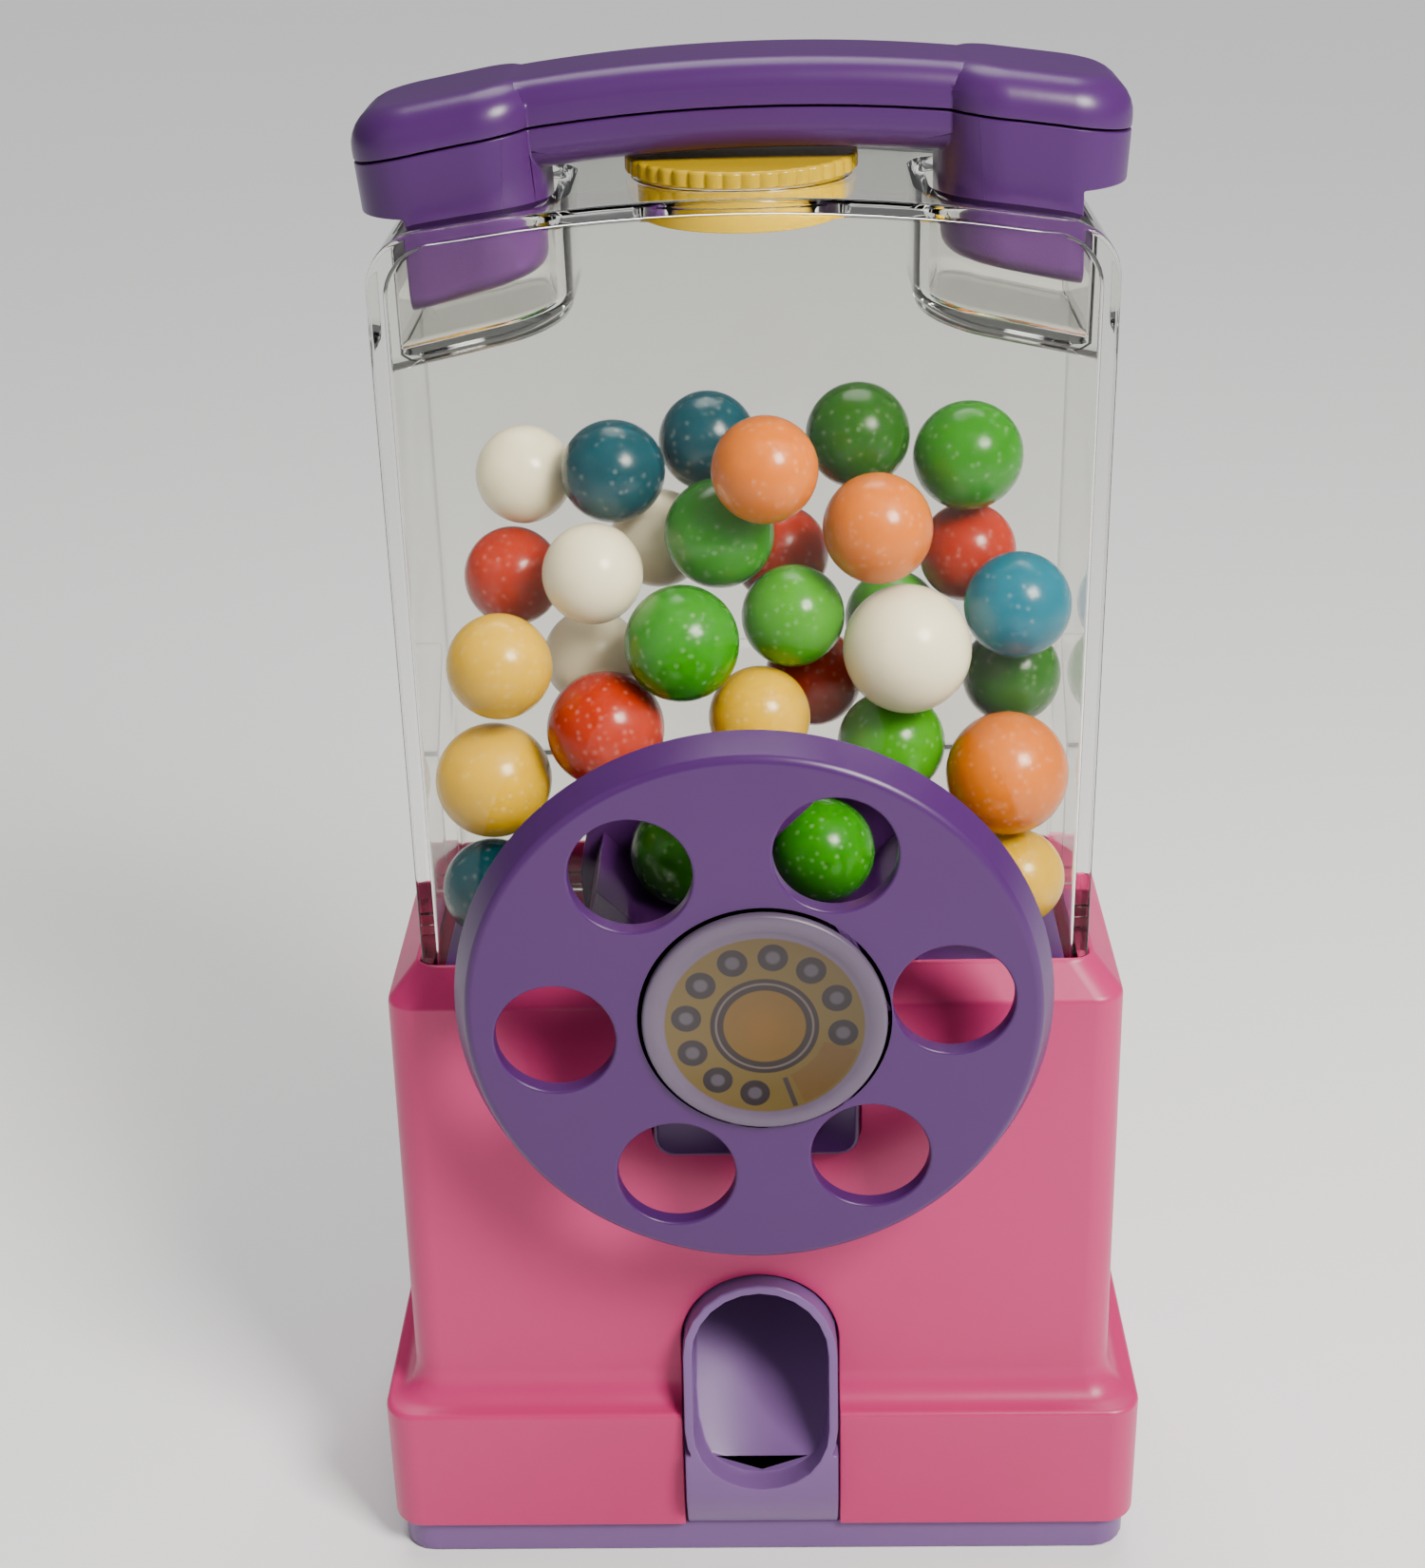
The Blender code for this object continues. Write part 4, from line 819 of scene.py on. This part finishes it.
nylon = moulded_plastic("cream_nylon", (0.72, 0.68, 0.58), (0.66, 0.61, 0.50), 0.42)
washer = soften(merged_copy("thrust_washer", "nylon_washer"), 0.12 * MM)
finish_piece(washer, nylon, "dial", "thrust_washer")
clip = soften(merged_copy("retaining_clip", "steel_clip"), 0.12 * MM)
finish_piece(clip, zinc_steel, "dial", "retaining_clip")


# ---- Handset ----
# Two purple half shells, screwed together from below, meet in a fine seam that follows the
# crown. A bent grip runs between two wider ends, which sit in the hopper's pockets.

grip_top, grip_bottom = 224.5 * MM, 213.1 * MM
grip_half_y, end_half_y = 9.6 * MM, 13.2 * MM
end_inner, end_seat, end_outer = 25.3 * MM, 43.3 * MM, 50.6 * MM
end_bottom, end_lip = 199.4 * MM, 207 * MM
seam_height = 218.7 * MM


def crowned_block(name, low, high, bends):
    """A block in strips, with the heights that pass a test bent like the hopper's crown."""
    piece = block(name, low, high)
    strips = 24
    slice_across(piece, 0, [low[0] + (high[0] - low[0]) * i / strips for i in range(1, strips)])
    for vert in piece.data.vertices:
        if bends(vert.co.z):
            vert.co.z -= crown_drop(vert.co.x)
    piece.data.update()
    return piece


def handset_end(side, inset):
    """One end: rounded in plan, domed above, with a sloping seat and a lip over the hopper."""
    inner, outer = end_inner + inset, end_outer - inset
    half_y, low, high = end_half_y - inset, end_bottom + inset, grip_top - inset
    end = block("handset_end", (inner, -half_y, low), (outer, half_y, high))
    for vert in end.data.vertices:
        is_outer = vert.co.x > outer - gap
        if vert.co.z < low + gap:
            vert.co.z -= pocket_slope * (vert.co.x - inner)
            vert.co.x -= 1.9 * MM * is_outer
        else:
            vert.co.z += 0.4 * MM - crown_drop(vert.co.x)
    end.data.update()
    round_edges(end, 8.6 * MM - inset, 10, lambda e: runs_along(e, 2, 0.97))
    round_edges(end, 4.6 * MM - inset, 7, lambda e: sum(face.normal.z > 0.9 for face in e.link_faces) == 1)
    round_edges(end, 2.2 * MM - inset, 4, lambda e: sum(face.normal.z < -0.9 for face in e.link_faces) == 1)
    under_lip = block("under_lip", (end_seat - inset, -30 * MM, 180 * MM),
                      (70 * MM, 30 * MM, end_lip + inset))
    cut_with(end, [under_lip])
    if side < 0:
        mirror(end)
    return end


def handset_body(name, inset):
    """The whole handset as one solid."""
    half_x = 40 * MM
    grip = crowned_block(name, (-half_x, -grip_half_y + inset, grip_bottom + inset),
                         (half_x, grip_half_y - inset, grip_top - inset), lambda z: True)
    round_edges(grip, 3.4 * MM - inset / 2, 6, lambda e: len(e.link_faces) == 2
                and sum(abs(face.normal.z) > 0.9 for face in e.link_faces) == 1
                and runs_along(e, 0, 0.9))
    return cut_with(grip, [handset_end(1, inset), handset_end(-1, inset)], "UNION")


def seam_block(above):
    """All of the space above or below the seam."""
    low, high = (seam_height + gap / 2, 260 * MM) if above else (150 * MM, seam_height - gap / 2)
    return crowned_block("seam_block", (-60 * MM, -30 * MM, low), (60 * MM, 30 * MM, high),
                         lambda z: abs(z - seam_height) < gap)


handset_wall = 1.8 * MM
screw_x = 35 * MM
for name, node, above in (
    ("handset_top", "handset_upper_shell", True), ("handset_bottom", "handset_lower_shell", False),
):
    half = handset_body(name, 0.0)
    cut_with(half, [handset_body("hollow", handset_wall)])
    cut_with(half, [seam_block(above)], "INTERSECT")
    roof = grip_top - crown_drop(screw_x) - 1.2 * MM
    posts, holes = [], []
    for x in (screw_x, -screw_x):
        if above:
            posts.append(rod("post", 2.8 * MM, (x, 0, seam_height - 1.9 * MM), (x, 0, roof), 32))
            holes.append(rod("pilot", 1.4 * MM, (x, 0, seam_height - 6 * MM), (x, 0, roof - 1.5 * MM), 24))
        else:
            posts.append(rod("post", 4.4 * MM, (x, 0, end_bottom - 1.2 * MM),
                             (x, 0, seam_height - 2.4 * MM), 32))
            holes.append(rod("way", 1.6 * MM, (x, 0, 190 * MM), (x, 0, 230 * MM), 24))
            holes.append(rod("sink", 3.2 * MM, (x, 0, 180 * MM), (x, 0, 205.4 * MM), 32))
    cut_with(half, posts, "UNION")
    cut_with(half, holes)
    half.data.transform(Matrix.Translation((0, 0, grip_bottom)) @ Matrix.Rotation(handset_lean, 4, "Y")
                        @ Matrix.Translation((0, 0, -grip_bottom)))
    soften(half, 0.22 * MM, 2, 55)
    finish_piece(half, purple_plastic, "handset", node)


# ---- Refill cap ----
# A glossy yellow cap with a flat top and a fluted side, hollow below. Its neck stands in the
# hopper's hole, and it comes out with a part turn when the handset is off.

cap_low, cap_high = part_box("refill_cap")
cap_radius, neck_radius = cap_high.x, 13.6 * MM
rim_bottom = cap_high.z - 2.1 * MM
flutes = 40
cap = rod("yellow_cap", cap_radius, (0, 0, rim_bottom), (0, 0, cap_high.z), flutes * 4)
work_on(cap)
bpy.ops.object.mode_set(mode="EDIT")
choose(cap, "VERT", lambda vert: round(math.atan2(vert.co.y, vert.co.x) * flutes * 2 / math.pi) % 4 == 0)
flute_scale = 1 - 0.4 * MM / cap_radius
bpy.ops.transform.resize(value=(flute_scale, flute_scale, 1), center_override=(0, 0, rim_bottom))
bpy.ops.object.mode_set(mode="OBJECT")
round_edges(cap, 0.5 * MM, 3, lambda edge: all(v.co.z > cap_high.z - gap for v in edge.verts))
neck = rod("neck", neck_radius, (0, 0, cap_low.z), (0, 0, rim_bottom + 0.5 * MM), 96)
cut_with(cap, [neck], "UNION")
cut_with(cap, [rod("inside", neck_radius - 1.6 * MM, (0, 0, 190 * MM), (0, 0, rim_bottom + 0.4 * MM), 80)])
soften(cap, 0.2 * MM, 2, 50)
yellow_plastic = moulded_plastic("yellow_plastic", (0.56, 0.36, 0.0), (0.50, 0.31, 0.0), 0.24)
finish_piece(cap, yellow_plastic, "cap", "refill_cap")
